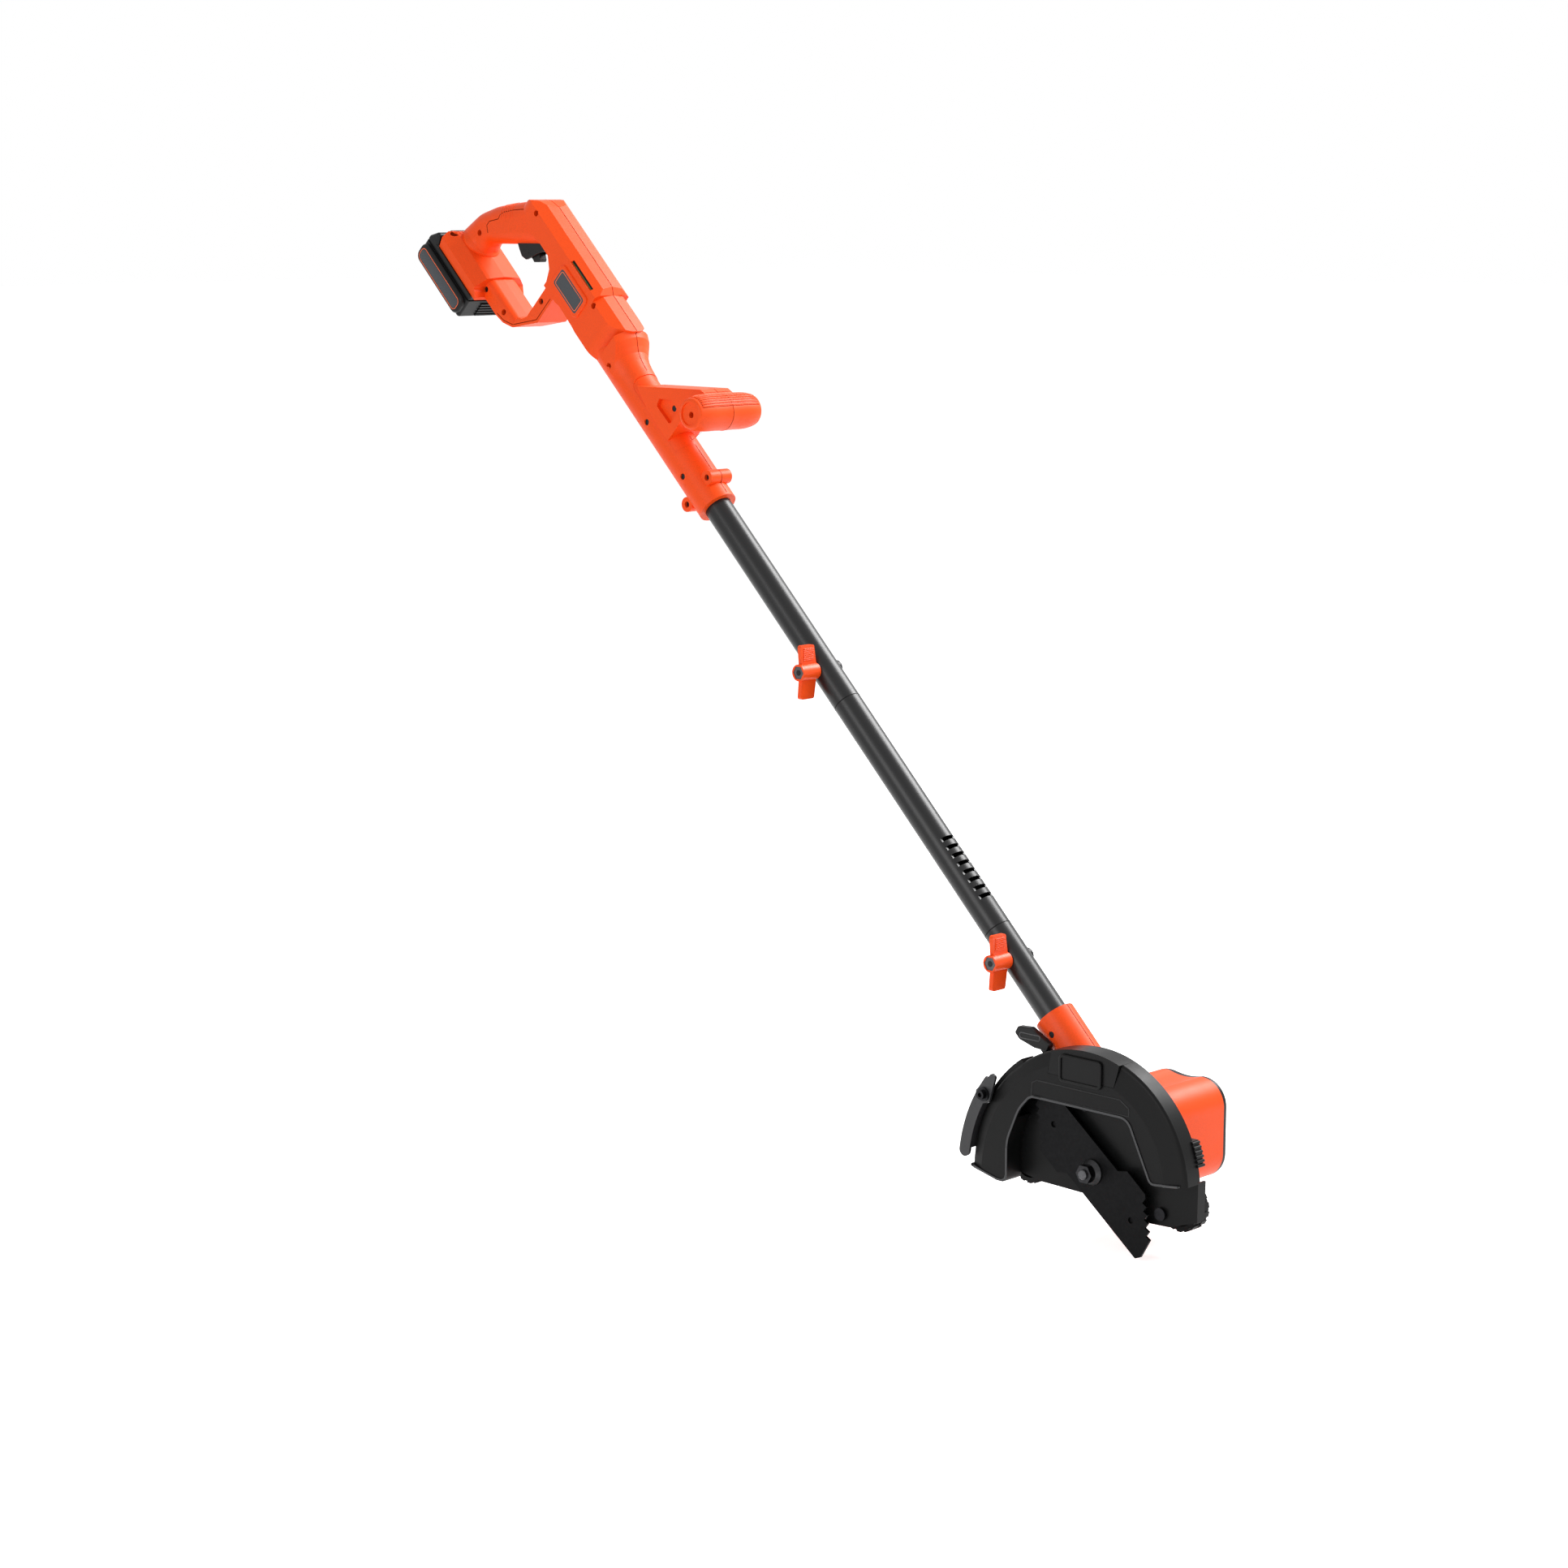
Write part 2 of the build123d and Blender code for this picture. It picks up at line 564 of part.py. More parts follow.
def head_screw_places():
    """Bosses stand just inside the wall, clear of the gear, the motor and the tube socket."""
    cx, cz = HOUSING_CENTRE
    inset = BOSS_R + HOUSING_WALL - 0.9
    corner_x = HOUSING_HALF_WIDTH - HOUSING_CORNER_R + (HOUSING_CORNER_R - inset) * math.sqrt(0.5)
    corner_z = HOUSING_HALF_HEIGHT - HOUSING_CORNER_R + (HOUSING_CORNER_R - inset) * math.sqrt(0.5)
    return [(cx + corner_x, cz + corner_z), (cx + corner_x, cz - corner_z),
            (cx - HOUSING_HALF_WIDTH + inset, cz - 6), (cx + 13, cz + HOUSING_HALF_HEIGHT - inset - 0.6)]


def make_head():
    cx, cz = HOUSING_CENTRE
    w = HOUSING_WALL
    mx, mz = motor_axis()
    plate_back = GEARBOX_PLATE_Y + GEARBOX_PLATE_THICK
    scoop_y = SHAFT_Y + 12
    outer = slab(housing_outline(), HOUSING_FRONT, HOUSING_BACK) - scoop(0, scoop_y, HOUSING_BACK + 1)
    outer += rod(0, 0, GEAR_CASE_R, HOUSING_FRONT, plate_back)
    collar = on_shaft(along(COLLAR_R, TUBE_BOTTOM - 4, COLLAR_TOP))
    outer += on_shaft(along(COLLAR_R, TUBE_BOTTOM, COLLAR_TOP))
    bay = slab(housing_outline(w), HOUSING_FRONT + w, HOUSING_BACK + 1)
    bay -= scoop(w, scoop_y - w, HOUSING_BACK + 2)
    gear_room = rod(0, 0, GEAR_CASE_R - w, HOUSING_FRONT + w, plate_back + 1)
    bay += gear_room & slab(housing_outline(-40), 0, plate_back)
    shell = outer - (bay - collar)
    # front bearing seat and the motor cradle
    shell += rod(0, 0, BEARING_R + 3, HOUSING_FRONT, FRONT_BEARING_Y + BEARING_WIDTH)
    shell -= rod(0, 0, BEARING_R, FRONT_BEARING_Y, FRONT_BEARING_Y + BEARING_WIDTH)
    shell -= rod(0, 0, FLANGE_HUB_R + GAP, HOUSING_FRONT - 1, FRONT_BEARING_Y + 1)
    for y in (MOTOR_FRONT + 3, MOTOR_FRONT + MOTOR_LENGTH - 14):
        rib = slab(housing_outline(w - 0.5), y, y + 4) & block(cx - 60, cx + 60, y, y + 4, mz - 16, mz + 6)
        shell += rib - rod(mx, mz, MOTOR_R + FIT, y - 1, y + 5)
    # screw bosses clamp the gearbox plate between the two shells
    inside = slab(housing_outline(w / 2), HOUSING_FRONT + 1, HOUSING_BACK)
    deep = SHAFT_Y + 22
    for x, z in head_screw_places():
        shell += rod(x, z, BOSS_R, HOUSING_FRONT + w / 2, GEARBOX_PLATE_Y) & inside
    for x, z in GUARD_SCREWS:
        shell += rod(x, z, BOSS_R, HOUSING_FRONT + w / 2, HOUSING_FRONT + GUARD_SCREW_DEPTH + 0.3) & outer
    near = shell & block(-300, 300, -50, SHAFT_Y, -300, 400)
    far = shell & block(-300, 300, SHAFT_Y, 300, -300, 400)
    for x, z in head_screw_places():
        far += rod(x, z, BOSS_R, SHAFT_Y, deep) & inside
        far += rod(x, z, BOSS_R, plate_back, SHAFT_Y + 1) & slab(housing_outline(w + FIT), 0, deep)
    cuts = [on_shaft(along(TUBE_R + FIT, TUBE_BOTTOM, COLLAR_TOP + 1)),
            on_shaft(along(TUBE_BORE_R - 1, TUBE_BOTTOM - 9, TUBE_BOTTOM + 1)), cable(CABLE_R + GAP)]
    screws = []
    sink = HOUSING_FRONT + w + 2
    for x, z in head_screw_places():
        cuts += [rod(x, z, SCREW_R, sink, deep - 4), rod(x, z, SCREW_HEAD_R, HOUSING_FRONT - 1, sink)]
        screws.append(rod(x, z, SCREW_R, sink - 1, deep - 6) + rod(x, z, SCREW_HEAD_R - FIT, sink - 2.4, sink))
    for x, z in GUARD_SCREWS:
        cuts.append(rod(x, z, SCREW_R, HOUSING_FRONT - 1, HOUSING_FRONT + GUARD_SCREW_DEPTH))
    seat = -TUBE_R - 2.5
    end = COLLAR_R - 2
    cuts += [on_shaft(across(COLLAR_SCREW, 0, SCREW_R, seat, end)),
             on_shaft(across(COLLAR_SCREW, 0, SCREW_HEAD_R, -COLLAR_R - 1, seat))]
    screws.append(on_shaft(across(COLLAR_SCREW, 0, SCREW_R, seat - 1, end)
                           + across(COLLAR_SCREW, 0, SCREW_HEAD_R - FIT, seat - 2.4, seat)))
    for k in range(VENTS):
        z = cz - 18 + k * 6
        cuts.append(block(cx - HOUSING_HALF_WIDTH - 5, cx - HOUSING_HALF_WIDTH + 8, 72, 102, z, z + 2.4))
    for cut in cuts:
        near -= cut
        far -= cut
    add("head_shell_near", near)
    add("head_shell_far", far)
    add("head_screws", *screws)
    plate_outline = housing_outline(w + FIT) + Circle(GEAR_CASE_R - w - FIT)
    gearbox = slab(plate_outline, GEARBOX_PLATE_Y, plate_back)
    gearbox += rod(0, 0, BEARING_R + 3, GEARBOX_PLATE_Y, GEARBOX_PLATE_Y + BEARING_WIDTH)
    gearbox -= rod(0, 0, BEARING_R, 0, 90)
    gearbox -= rod(mx, mz, GEAR_MODULE * PINION_TEETH / 2 + 2, 0, 90)
    gearbox -= on_shaft(along(COLLAR_R + FIT, TUBE_BOTTOM - 4 - FIT, COLLAR_TOP))
    for x, z in head_screw_places():
        gearbox -= rod(x, z, SCREW_R + FIT, 0, 90)
    add("gearbox_plate", gearbox)
    cap = slab(housing_outline(), HOUSING_BACK, HOUSING_BACK + CAP_THICK)
    cap = fillet(cap.faces().sort_by(Axis.Y)[-1].edges(), CAP_THICK / 2)
    cap -= scoop(0, HOUSING_BACK - 1, HOUSING_BACK + 20)
    lip = slab(housing_outline(w + FIT) - housing_outline(w + 2.2), HOUSING_BACK - 3, HOUSING_BACK)
    cap += lip - scoop(w + FIT, HOUSING_BACK - 9, HOUSING_BACK + 9)
    for k in range(-3, 4):
        z = cz + k * 7
        cap -= block(cx - 24, cx + 24, HOUSING_BACK - 1, HOUSING_BACK + 20, z - 1.3, z + 1.3)
    add("motor_cap", cap)


# ---------------------------------------------------------------- guard
def half_ring(r_out, r_in, front):
    """Half of a flat ring: the forward half about the spindle, or the rear half on its larger radius."""
    centre = 0 if front else REAR_CENTRE_Z
    side = 1 if front else -1
    whole = Pos(0, centre) * (Circle(r_out) - Circle(r_in))
    return whole & Pos(side * ROOM / 2, 0) * Rectangle(ROOM, 2 * ROOM)


def rear_place(r, degrees):
    """A place about the centre of the rear outline."""
    a = math.radians(degrees)
    return r * math.cos(a), REAR_CENTRE_Z + r * math.sin(a)


def rear_wedge(low, high):
    """A wedge about the centre of the rear outline, between two directions."""
    return Polygon((0, REAR_CENTRE_Z), rear_place(ROOM, low), rear_place(ROOM, high), align=None)


def guard_outline(inset=0.0):
    """Two arcs, tangent to each other at the top."""
    forward = Circle(GUARD_R - inset) & Pos(ROOM / 2, 0) * Rectangle(ROOM, 2 * ROOM)
    rear = Pos(0, REAR_CENTRE_Z) * Circle(GUARD_REAR_R - inset)
    rear &= Pos(-ROOM / 2, 0) * Rectangle(ROOM, 2 * ROOM)
    return forward + rear


def mouth_outline(grow=0.0):
    """The open mouth of the front face."""
    rear_top, rear_mid = (-84, 49), (MOUTH_REAR, 14)
    left, right, front = (-70, MOUTH_TOP), (51, MOUTH_TOP), (80, 5.2)
    outline = Polygon((MOUTH_REAR, -60), rear_mid, rear_top, left, right, front, (104, 7.6), (200, 20.0),
                      (200, -60), align=None)
    for corner, radius in ((right, 14.0), (left, 12.0), (rear_top, 40.0), (rear_mid, 40.0), (front, 8.0)):
        outline = fillet(corners(outline, corner), radius)
    return offset(outline, grow, kind=Kind.ARC) if grow else outline


def leg_bottoms(grow=0.0):
    """What lies below the bottoms of the two legs."""
    rear = Polygon((-220, -4.2), (-147.2, -20.6), (-112.0, LEG_BOTTOM), (MOUTH_REAR, LEG_BOTTOM),
                   (MOUTH_REAR, -ROOM), (-220, -ROOM), align=None)
    rear = fillet(corners(rear, (-112.0, LEG_BOTTOM)), 8.0)
    front = Polygon((MOUTH_REAR - 0.1, -ROOM), (MOUTH_REAR - 0.1, -50), (200, -50), (200, -ROOM), align=None)
    outline = rear + front
    return offset(outline, grow, kind=Kind.ARC) if grow else outline


def leg_tip(y0, y1, inner_r=None):
    """At the rounded inner corner of the rear leg: what is cut away outside it, or a band just inside it."""
    size = LEG_ROUND + 2
    x, z = MOUTH_REAR - LEG_ROUND, LEG_BOTTOM + LEG_ROUND
    quarter = Pos(x + size / 2, z - size / 2) * Rectangle(size, size)
    centre = Pos(x, z)
    if inner_r is None:
        return slab(quarter - centre * Circle(LEG_ROUND), y0, y1)
    return slab(quarter & centre * (Circle(LEG_ROUND) - Circle(inner_r)), y0, y1)


def bevel(front):
    """The ring cut away where the front face slopes back to the rounded rim."""
    outer = GUARD_R if front else GUARD_REAR_R
    inner = outer - (BEVEL_WIDTH if front else REAR_BEVEL_WIDTH)
    edge, clear = outer + 0.4, outer + 3
    turn = (edge, GUARD_FRONT + BEVEL_DEPTH)
    low = GUARD_FRONT + BEVEL_DEPTH + 2 * RIM_ROUND
    profile = Polygon((inner, GUARD_FRONT), turn, (edge, low), (clear, low), (clear, GUARD_FRONT - 1),
                      (inner, GUARD_FRONT - 1), align=None)
    profile = fillet(corners(profile, turn), RIM_ROUND)
    solid = revolve(Plane.XY * profile, axis=Axis.Y)
    solid = Pos(0, 0, 0 if front else REAR_CENTRE_Z) * solid
    side = 1 if front else -1
    return solid & Pos(side * ROOM / 2, 0, 0) * Box(ROOM, 100, 2 * ROOM)


def make_guard():
    wall = GUARD_WALL
    face_back = GUARD_BACK - wall
    open_below = slab(mouth_outline(), -50, face_back) + slab(leg_bottoms(), -50, 50) + leg_tip(-50, 50)
    hood = slab(guard_outline(), GUARD_FRONT, face_back)
    # an inner skin keeps the wall behind the bevel
    hood -= slab(guard_outline(wall), GUARD_FRONT + wall + BEVEL_DEPTH, face_back + 1)
    hood -= slab(guard_outline(BEVEL_WIDTH), GUARD_FRONT + wall, face_back + 1)
    hood -= bevel(True) + bevel(False)
    wedge = plate(BADGE_WEDGE, -50, 50)
    hood = hood - open_below - wedge
    rear_floor = slab(leg_bottoms(wall) - leg_bottoms(), GUARD_FRONT, face_back)
    rear_floor &= slab(guard_outline(), -50, 50) & block(-ROOM, MOUTH_REAR, -50, 50, LEG_BOTTOM, 10)
    side_wall = slab(mouth_outline(wall) - mouth_outline(), GUARD_FRONT, face_back)
    side_wall &= slab(guard_outline(1.0), -50, 50) & block(-ROOM, -80, -50, 50, LEG_BOTTOM, 40)
    band = BEAD * 2.4
    bead_y = GUARD_FRONT - BEAD
    lip = slab(mouth_outline(band) - mouth_outline(), bead_y, GUARD_FRONT + 1)
    lip &= slab(guard_outline(8.0), -50, 50) & block(-ROOM, ROOM, -50, 50, LEG_BOTTOM, ROOM)
    foot = slab(leg_bottoms(band) - leg_bottoms(), bead_y, GUARD_FRONT + 1)
    foot &= slab(guard_outline(4.0), -50, 50) & block(-ROOM, MOUTH_REAR, -50, 50, -60, 10)
    hood += (side_wall + rear_floor + lip + foot) - leg_tip(-50, 50)
    hood += leg_tip(GUARD_FRONT, face_back, LEG_ROUND - wall)
    hood += leg_tip(bead_y, GUARD_FRONT + 1, LEG_ROUND - band)
    back = slab(back_outline(), face_back, GUARD_BACK)
    # ribbed thumb rest and stiffening strip behind the forward edge
    rest = Polygon((108.0, 25.0), (119.0, 25.0), (117.0, 40.0), (112.0, 50.0), (102.0, 50.0), align=None)
    back += slab(rest, face_back, GUARD_BACK + 8)
    for k in range(THUMB_RIBS):
        t = k / (THUMB_RIBS - 1)
        back += rod(119.5 - 6.5 * t ** 1.5, 27.0 + 21.0 * t, 1.5, face_back, GUARD_BACK + 8)
    strip = Polygon((119.0, 11.0), (121.4, 11.0), (120.8, -28.0), (116.0, -29.4), (112.0, -26.5),
                    (116.5, -24.0), align=None)
    back += slab(strip, face_back, GUARD_BACK + 9)
    # stand-off for the front wheel axle
    wx, wz = FRONT_WHEEL
    axle_face = WHEEL_Y - WHEEL_WIDTH / 2 - GAP
    back += rod(wx, wz, AXLE_R + 4, face_back, axle_face)
    stop = half_ring(GUARD_REAR_R + 4.0, GUARD_REAR_R - 1.0, False) & rear_wedge(125.0, 146.5)
    back += slab(stop, GUARD_FRONT + 5, face_back + 1)
    hood += back + rod(*flap_bolt(), FLAP_LUG_R, GUARD_FRONT, GUARD_FRONT + FLAP_LUG)
    hood -= rod(0, 0, INNER_FLANGE_R + 3.0, face_back - 1, 50)
    hood -= rod(wx, wz, AXLE_R, -50, 60)
    for x, z in GUARD_SCREWS:
        hood -= rod(x, z, SCREW_R + FIT, -50, 50)
    for x, z in (*carriage_guides(), LEVER_PIVOT):
        hood -= rod(x, z, SCREW_R, face_back - 1, 50)
    hood -= rod(*flap_bolt(), FLAP_BOLT_R, -50, GUARD_FRONT + FLAP_LUG - 1)
    add("guard_hood", hood)
    make_badge_panel(face_back)
    make_guard_fasteners(face_back)


def make_badge_panel(face_back):
    """The separate panel at the top of the guard, with a raised blank pad."""
    wedge = plate(BADGE_WEDGE_INNER, -50, 50)
    panel = slab(guard_outline(), GUARD_FRONT, face_back)
    panel -= slab(guard_outline(GUARD_WALL), GUARD_FRONT + GUARD_WALL, face_back + 1)
    panel = panel & wedge
    pad = Pos(-6.5, 101.0) * RectangleRounded(53.0, 28.0, 5.0) & guard_outline(4.0)
    raised = slab(pad, GUARD_FRONT - PAD_RAISE, GUARD_FRONT)
    panel += fillet(raised.faces().sort_by(Axis.Y)[0].edges(), 1.2)
    dish = offset(pad, -3.0, kind=Kind.ARC)
    panel -= slab(dish, GUARD_FRONT - PAD_RAISE - 1, GUARD_FRONT - PAD_RAISE + 1.2)
    add("guard_badge_panel", panel)


def make_guard_fasteners(face_back):
    bodies = []
    for x, z in GUARD_SCREWS:
        shank = rod(x, z, SCREW_R, face_back - 1, HOUSING_FRONT + GUARD_SCREW_DEPTH)
        bodies.append(shank + rod(x, z, 4.2, face_back - 2.6, face_back))
    for x, z in carriage_guides():
        top = CARRIAGE_Y + CARRIAGE_THICK + 0.3
        guide = rod(x, z, SCREW_R, face_back, GUARD_BACK) + rod(x, z, GUIDE_R, GUARD_BACK, top)
        bodies.append(guide + rod(x, z, GUIDE_R + 3, top, top + 2.5))
    x, z = LEVER_PIVOT
    top = lever_face() + LEVER_THICK + 0.3
    pin = rod(x, z, SCREW_R, face_back, GUARD_BACK) + rod(x, z, GUIDE_R, GUARD_BACK, top)
    bodies.append(pin + rod(x, z, GUIDE_R + 3, top, top + 2.5))
    x, z = flap_bolt()
    y = GUARD_FRONT - GAP - FLAP_THICK - 0.3
    bolt = rod(x, z, FLAP_BOLT_R, y - 0.5, GUARD_FRONT + FLAP_LUG - 1) + rod(x, z, 7.0, y - 1.5, y)
    bolt += rod(x, z, 4.6, y - 6.0, y - 1.5) - hexagon(x, z, 4.6, y - 7.0, y - 3.0)
    bodies.append(bolt)
    x, z = FRONT_WHEEL
    bodies.append(axle(x, z, face_back) + rod(x, z, AXLE_R + 2.4, face_back - 3.5, face_back))
    add("guard_fasteners", *bodies)


def back_outline():
    lower = Polygon((-GUARD_REAR_R, -19.0), (-106.0, -21.0), (-72.0, -26.5), (-14.0, -27.5), (34.0, -42.0),
                    (88.0, -39.5), (121.0, -28.0), (119.5, 12.0), (0, 60), (-140, 20), align=None)
    above = Polygon((-ROOM, -12), (-100, -12), (100, 12), (ROOM, 12), (ROOM, ROOM), (-ROOM, ROOM), align=None)
    upper = guard_outline() & above
    return (lower & Circle(GUARD_REAR_R + 3)) + upper


# ---------------------------------------------------------------- wheels, carriage, lever and flap
def carriage_guides():
    mid = CARRIAGE_R - CARRIAGE_BAND / 2
    places = []
    for degrees in (150, 178):
        a = math.radians(degrees)
        places.append((mid * math.cos(a), mid * math.sin(a)))
    return places


def arm(x0, z0, x1, z1, width, y0, y1):
    """A flat bar with round ends between two points in X-Z."""
    length = math.hypot(x1 - x0, z1 - z0)
    turn = math.degrees(math.atan2(z1 - z0, x1 - x0))
    outline = Pos((x0 + x1) / 2, (z0 + z1) / 2) * Rot(0, 0, turn) * SlotCenterToCenter(length, width)
    return slab(outline, y0, y1)


def axle(x, z, start):
    """A wheel's stud, with a retaining head behind the wheel."""
    end = WHEEL_Y + WHEEL_WIDTH / 2 + 0.4
    return rod(x, z, AXLE_R, start, end + 0.1) + rod(x, z, AXLE_R + 3, end, end + 3)


def make_wheels():
    y0, y1 = WHEEL_Y - WHEEL_WIDTH / 2, WHEEL_Y + WHEEL_WIDTH / 2
    for name, (x, z) in (("front", FRONT_WHEEL), ("rear", REAR_WHEEL)):
        wheel = rod(x, z, WHEEL_R - 1.8, y0, y1)
        for k in range(WHEEL_KNOBS):
            for row, (low, high) in enumerate(((y0 + 0.8, WHEEL_Y - 0.6), (WHEEL_Y + 0.6, y1 - 0.8))):
                turn = 360 * (k + row / 2) / WHEEL_KNOBS
                knob = block(WHEEL_R - 4, WHEEL_R - 0.1, low, high, -2.6, 2.6)
                wheel += Pos(x, 0, z) * Rot(0, turn, 0) * knob
        for low in (y0 - 1, y1 - 4):
            wheel -= ring(x, z, WHEEL_R - 6, AXLE_R + 5, low, low + 5)
        wheel -= rod(x, z, AXLE_R + FIT, y0 - 1, y1 + 1)
        add(f"wheel_{name}", wheel)
    add("rear_axle", axle(*REAR_WHEEL, CARRIAGE_Y))


def lever_face():
    return CARRIAGE_Y + CARRIAGE_THICK + GAP


def make_carriage():
    y0, y1 = CARRIAGE_Y, CARRIAGE_Y + CARRIAGE_THICK
    inner = CARRIAGE_R - CARRIAGE_BAND
    stretch = Polygon((0, 0), (-95, 118), (-200, 118), (-200, -6), (0, -6), align=None)
    hoop = (Circle(CARRIAGE_R) - Circle(inner)) & stretch
    px, pz = LEVER_PEG
    clear = LEVER_PIVOT[0] - GUIDE_R - PEG_R
    tab = Polygon((px - 8, pz - 34), (clear, pz - 34), (clear, pz + 7), (px - 8, pz + 7), align=None)
    outline = hoop + (tab & guard_outline(2.0))
    wx, wz = REAR_WHEEL
    body = slab(outline, y0, y1) + arm(-(CARRIAGE_R + inner) / 2, -2.0, wx, wz, CARRIAGE_BAND, y0, y1)
    body += rod(wx, wz, AXLE_R + 4, y0, WHEEL_Y - WHEEL_WIDTH / 2 - GAP)
    body -= rod(wx, wz, AXLE_R, y0 - 1, 90)
    for x, z in carriage_guides():
        slot = Rot(0, 0, 90) * SlotCenterToCenter(CARRIAGE_DROP + GAP, 2 * (GUIDE_R + FIT))
        body -= slab(Pos(x, z + CARRIAGE_DROP / 2) * slot, y0 - 1, y1 + 1)
    peg_slot = Pos(px, pz) * RectangleRounded(2 * PEG_R + 3.0, 2 * PEG_R + 1.2, PEG_R)
    body -= slab(peg_slot, y0 - 1, y1 + 1)
    add("wheel_carriage", body)


def make_lever():
    y0 = lever_face()
    y1 = y0 + LEVER_THICK
    x, z = LEVER_PIVOT
    body = arm(x, z, -82.0, 112.0, 11.0, y0, y1) + arm(x, z, *LEVER_PEG, 12.0, y0, y1)
    body += rod(x, z, 8.0, y0, y1) + rod(*LEVER_PEG, PEG_R, CARRIAGE_Y + 0.5, y1)
    paddle = Polygon((-113.0, 117.5), (-109.0, 124.5), (-93.0, 125.5), (-68.0, 112.0), (-71.0, 105.0),
                     (-88.0, 106.0), (-107.0, 111.5), align=None)
    grip = slab(fillet(paddle.vertices(), 2.4), CARRIAGE_Y + GAP, SHAFT_Y - COLLAR_R - 1.0)
    body += fillet(grip.faces().filter_by(Axis.Y).edges(), 1.2)
    body -= rod(x, z, GUIDE_R + FIT, 0, 60)
    add("depth_lever", body)


def flap_bolt():
    return rear_place(GUARD_REAR_R + FLAP_BOLT_REACH, FLAP_BOLT_ANGLE)


def make_flap():
    """A stiff flap that follows the rear rim and swings up about its bolt."""
    y1 = GUARD_FRONT - GAP
    y0 = y1 - FLAP_THICK
    x, z = flap_bolt()
    outer_r = GUARD_REAR_R + FLAP_REACH
    inner_r = GUARD_REAR_R + 0.8
    web = half_ring(outer_r, inner_r, False) & rear_wedge(FLAP_BOLT_ANGLE - 6, 172.5)
    end_r = (outer_r - inner_r) / 2
    web += Pos(*rear_place(outer_r - end_r, 172.5)) * Circle(end_r)
    skin = half_ring(outer_r, outer_r - FLAP_THICK, False) & rear_wedge(FLAP_BOLT_ANGLE + 4, 172.5)
    inner_skin = half_ring(inner_r + FLAP_THICK / 2, inner_r, False) & rear_wedge(FLAP_BOLT_ANGLE + 4, 171.0)
    ear = Polygon((x - 7, z - 12), (x - 11, z + 2), (x + 10, z + 23), (x + 15, z + 20), (x + 7, z - 7),
                  align=None)
    flap = slab(web + fillet(ear.vertices(), 3.0), y0, y1) + slab(skin + inner_skin, y0, GUARD_BACK - 2)
    flap -= rod(x, z, FLAP_BOLT_R + FIT, -50, 50)
    add("rear_flap", flap)


# ---------------------------------------------------------------- handle
BODY = ((1076, -12), (1076, 41.5), (1129, 41.5), (1137, HOOD_TOP), (1256, HOOD_TOP), (1270, 43), (1279, 36),
        (1286, 26), (1250, 13), (1232, 16), (1214, 16), (1202, 7), (1196, -6), (1196, -15), (1178, -15),
        (1164, -10), (1134, -11), (1126, -12))
BAR = ((1178, -5), (1178, -52), (1203, -86), (1218, -94), (1232, -96.5), (1275, -96.5), (1275, -76),
       (1212, -76), (1199, -68), (1195, -60), (1195, -5))
GRIP = ((1228, 18), (1303, -57), (1300, -74), (1344, -74), (1337, -44), (1323, -19), (1306, 3), (1288, 25),
        (1280, 34), (1250, 26))
BATTERY_BAY = ((1257, -98.5), (1258, -95), (1267, -88), (1267, -73), (1337, -73), (1346, -81), (1340, -98.5))
COLLAR_PLACE = 1321.0          # where the grip stands on the battery housing, up the shaft
SHELL_SCREWS = ((1317, -54), (1263, -88), (1225, -85), (1259, 35), (1190, -31), (1125, 30), (1063, 2))


def hood_limits(inset):
    """The cross-section of the body: flat sides, and a chamfer each side of a low roof."""
    half, flat = BODY_HALF - inset, HOOD_FLAT - inset * 0.4
    top = HOOD_TOP - inset
    eaves = top - HOOD_ROOF
    shoulder = top - HOOD_CHAMFER_DROP
    return Polygon((-20, -half), (shoulder, -half), (eaves, -flat), (top, 0), (eaves, flat), (shoulder, half),
                   (-20, half), align=None)


def run_section(section, s0, s1):
    """A section drawn in (out from the shaft, sideways), run from s0 to s1."""
    plane = Plane(origin=(s0, 0, 0), x_dir=(0, 1, 0), z_dir=(1, 0, 0))
    return extrude(plane * section, amount=s1 - s0, dir=(1, 0, 0))


def loop_section(inset):
    half = LOOP_HALF - inset
    back, front = -96.5 + inset, -76 - inset
    section = Polygon((back, -half), (back + 3.5, -half), (front - 1, -half), (front, 0), (front - 1, half),
                      (back + 3.5, half), (back, half), align=None)
    return fillet(corners(section, (front - 1, -half), (front - 1, half)), LOOP_ROUND - inset)


def bay_section(inset):
    half = HOUSING_HALF - inset
    ridge = -73 - inset
    edge = ridge - BOX_ROOF
    low = min(BOX_HALF, half - 4) - inset
    return Polygon((-98.5 - inset, -half), (-87.5 - inset, -half), (edge, -low - 4), (edge + 0.8, -low),
                   (ridge, 0), (edge + 0.8, low), (edge, low + 4), (-87.5 - inset, half),
                   (-98.5 - inset, half), align=None)


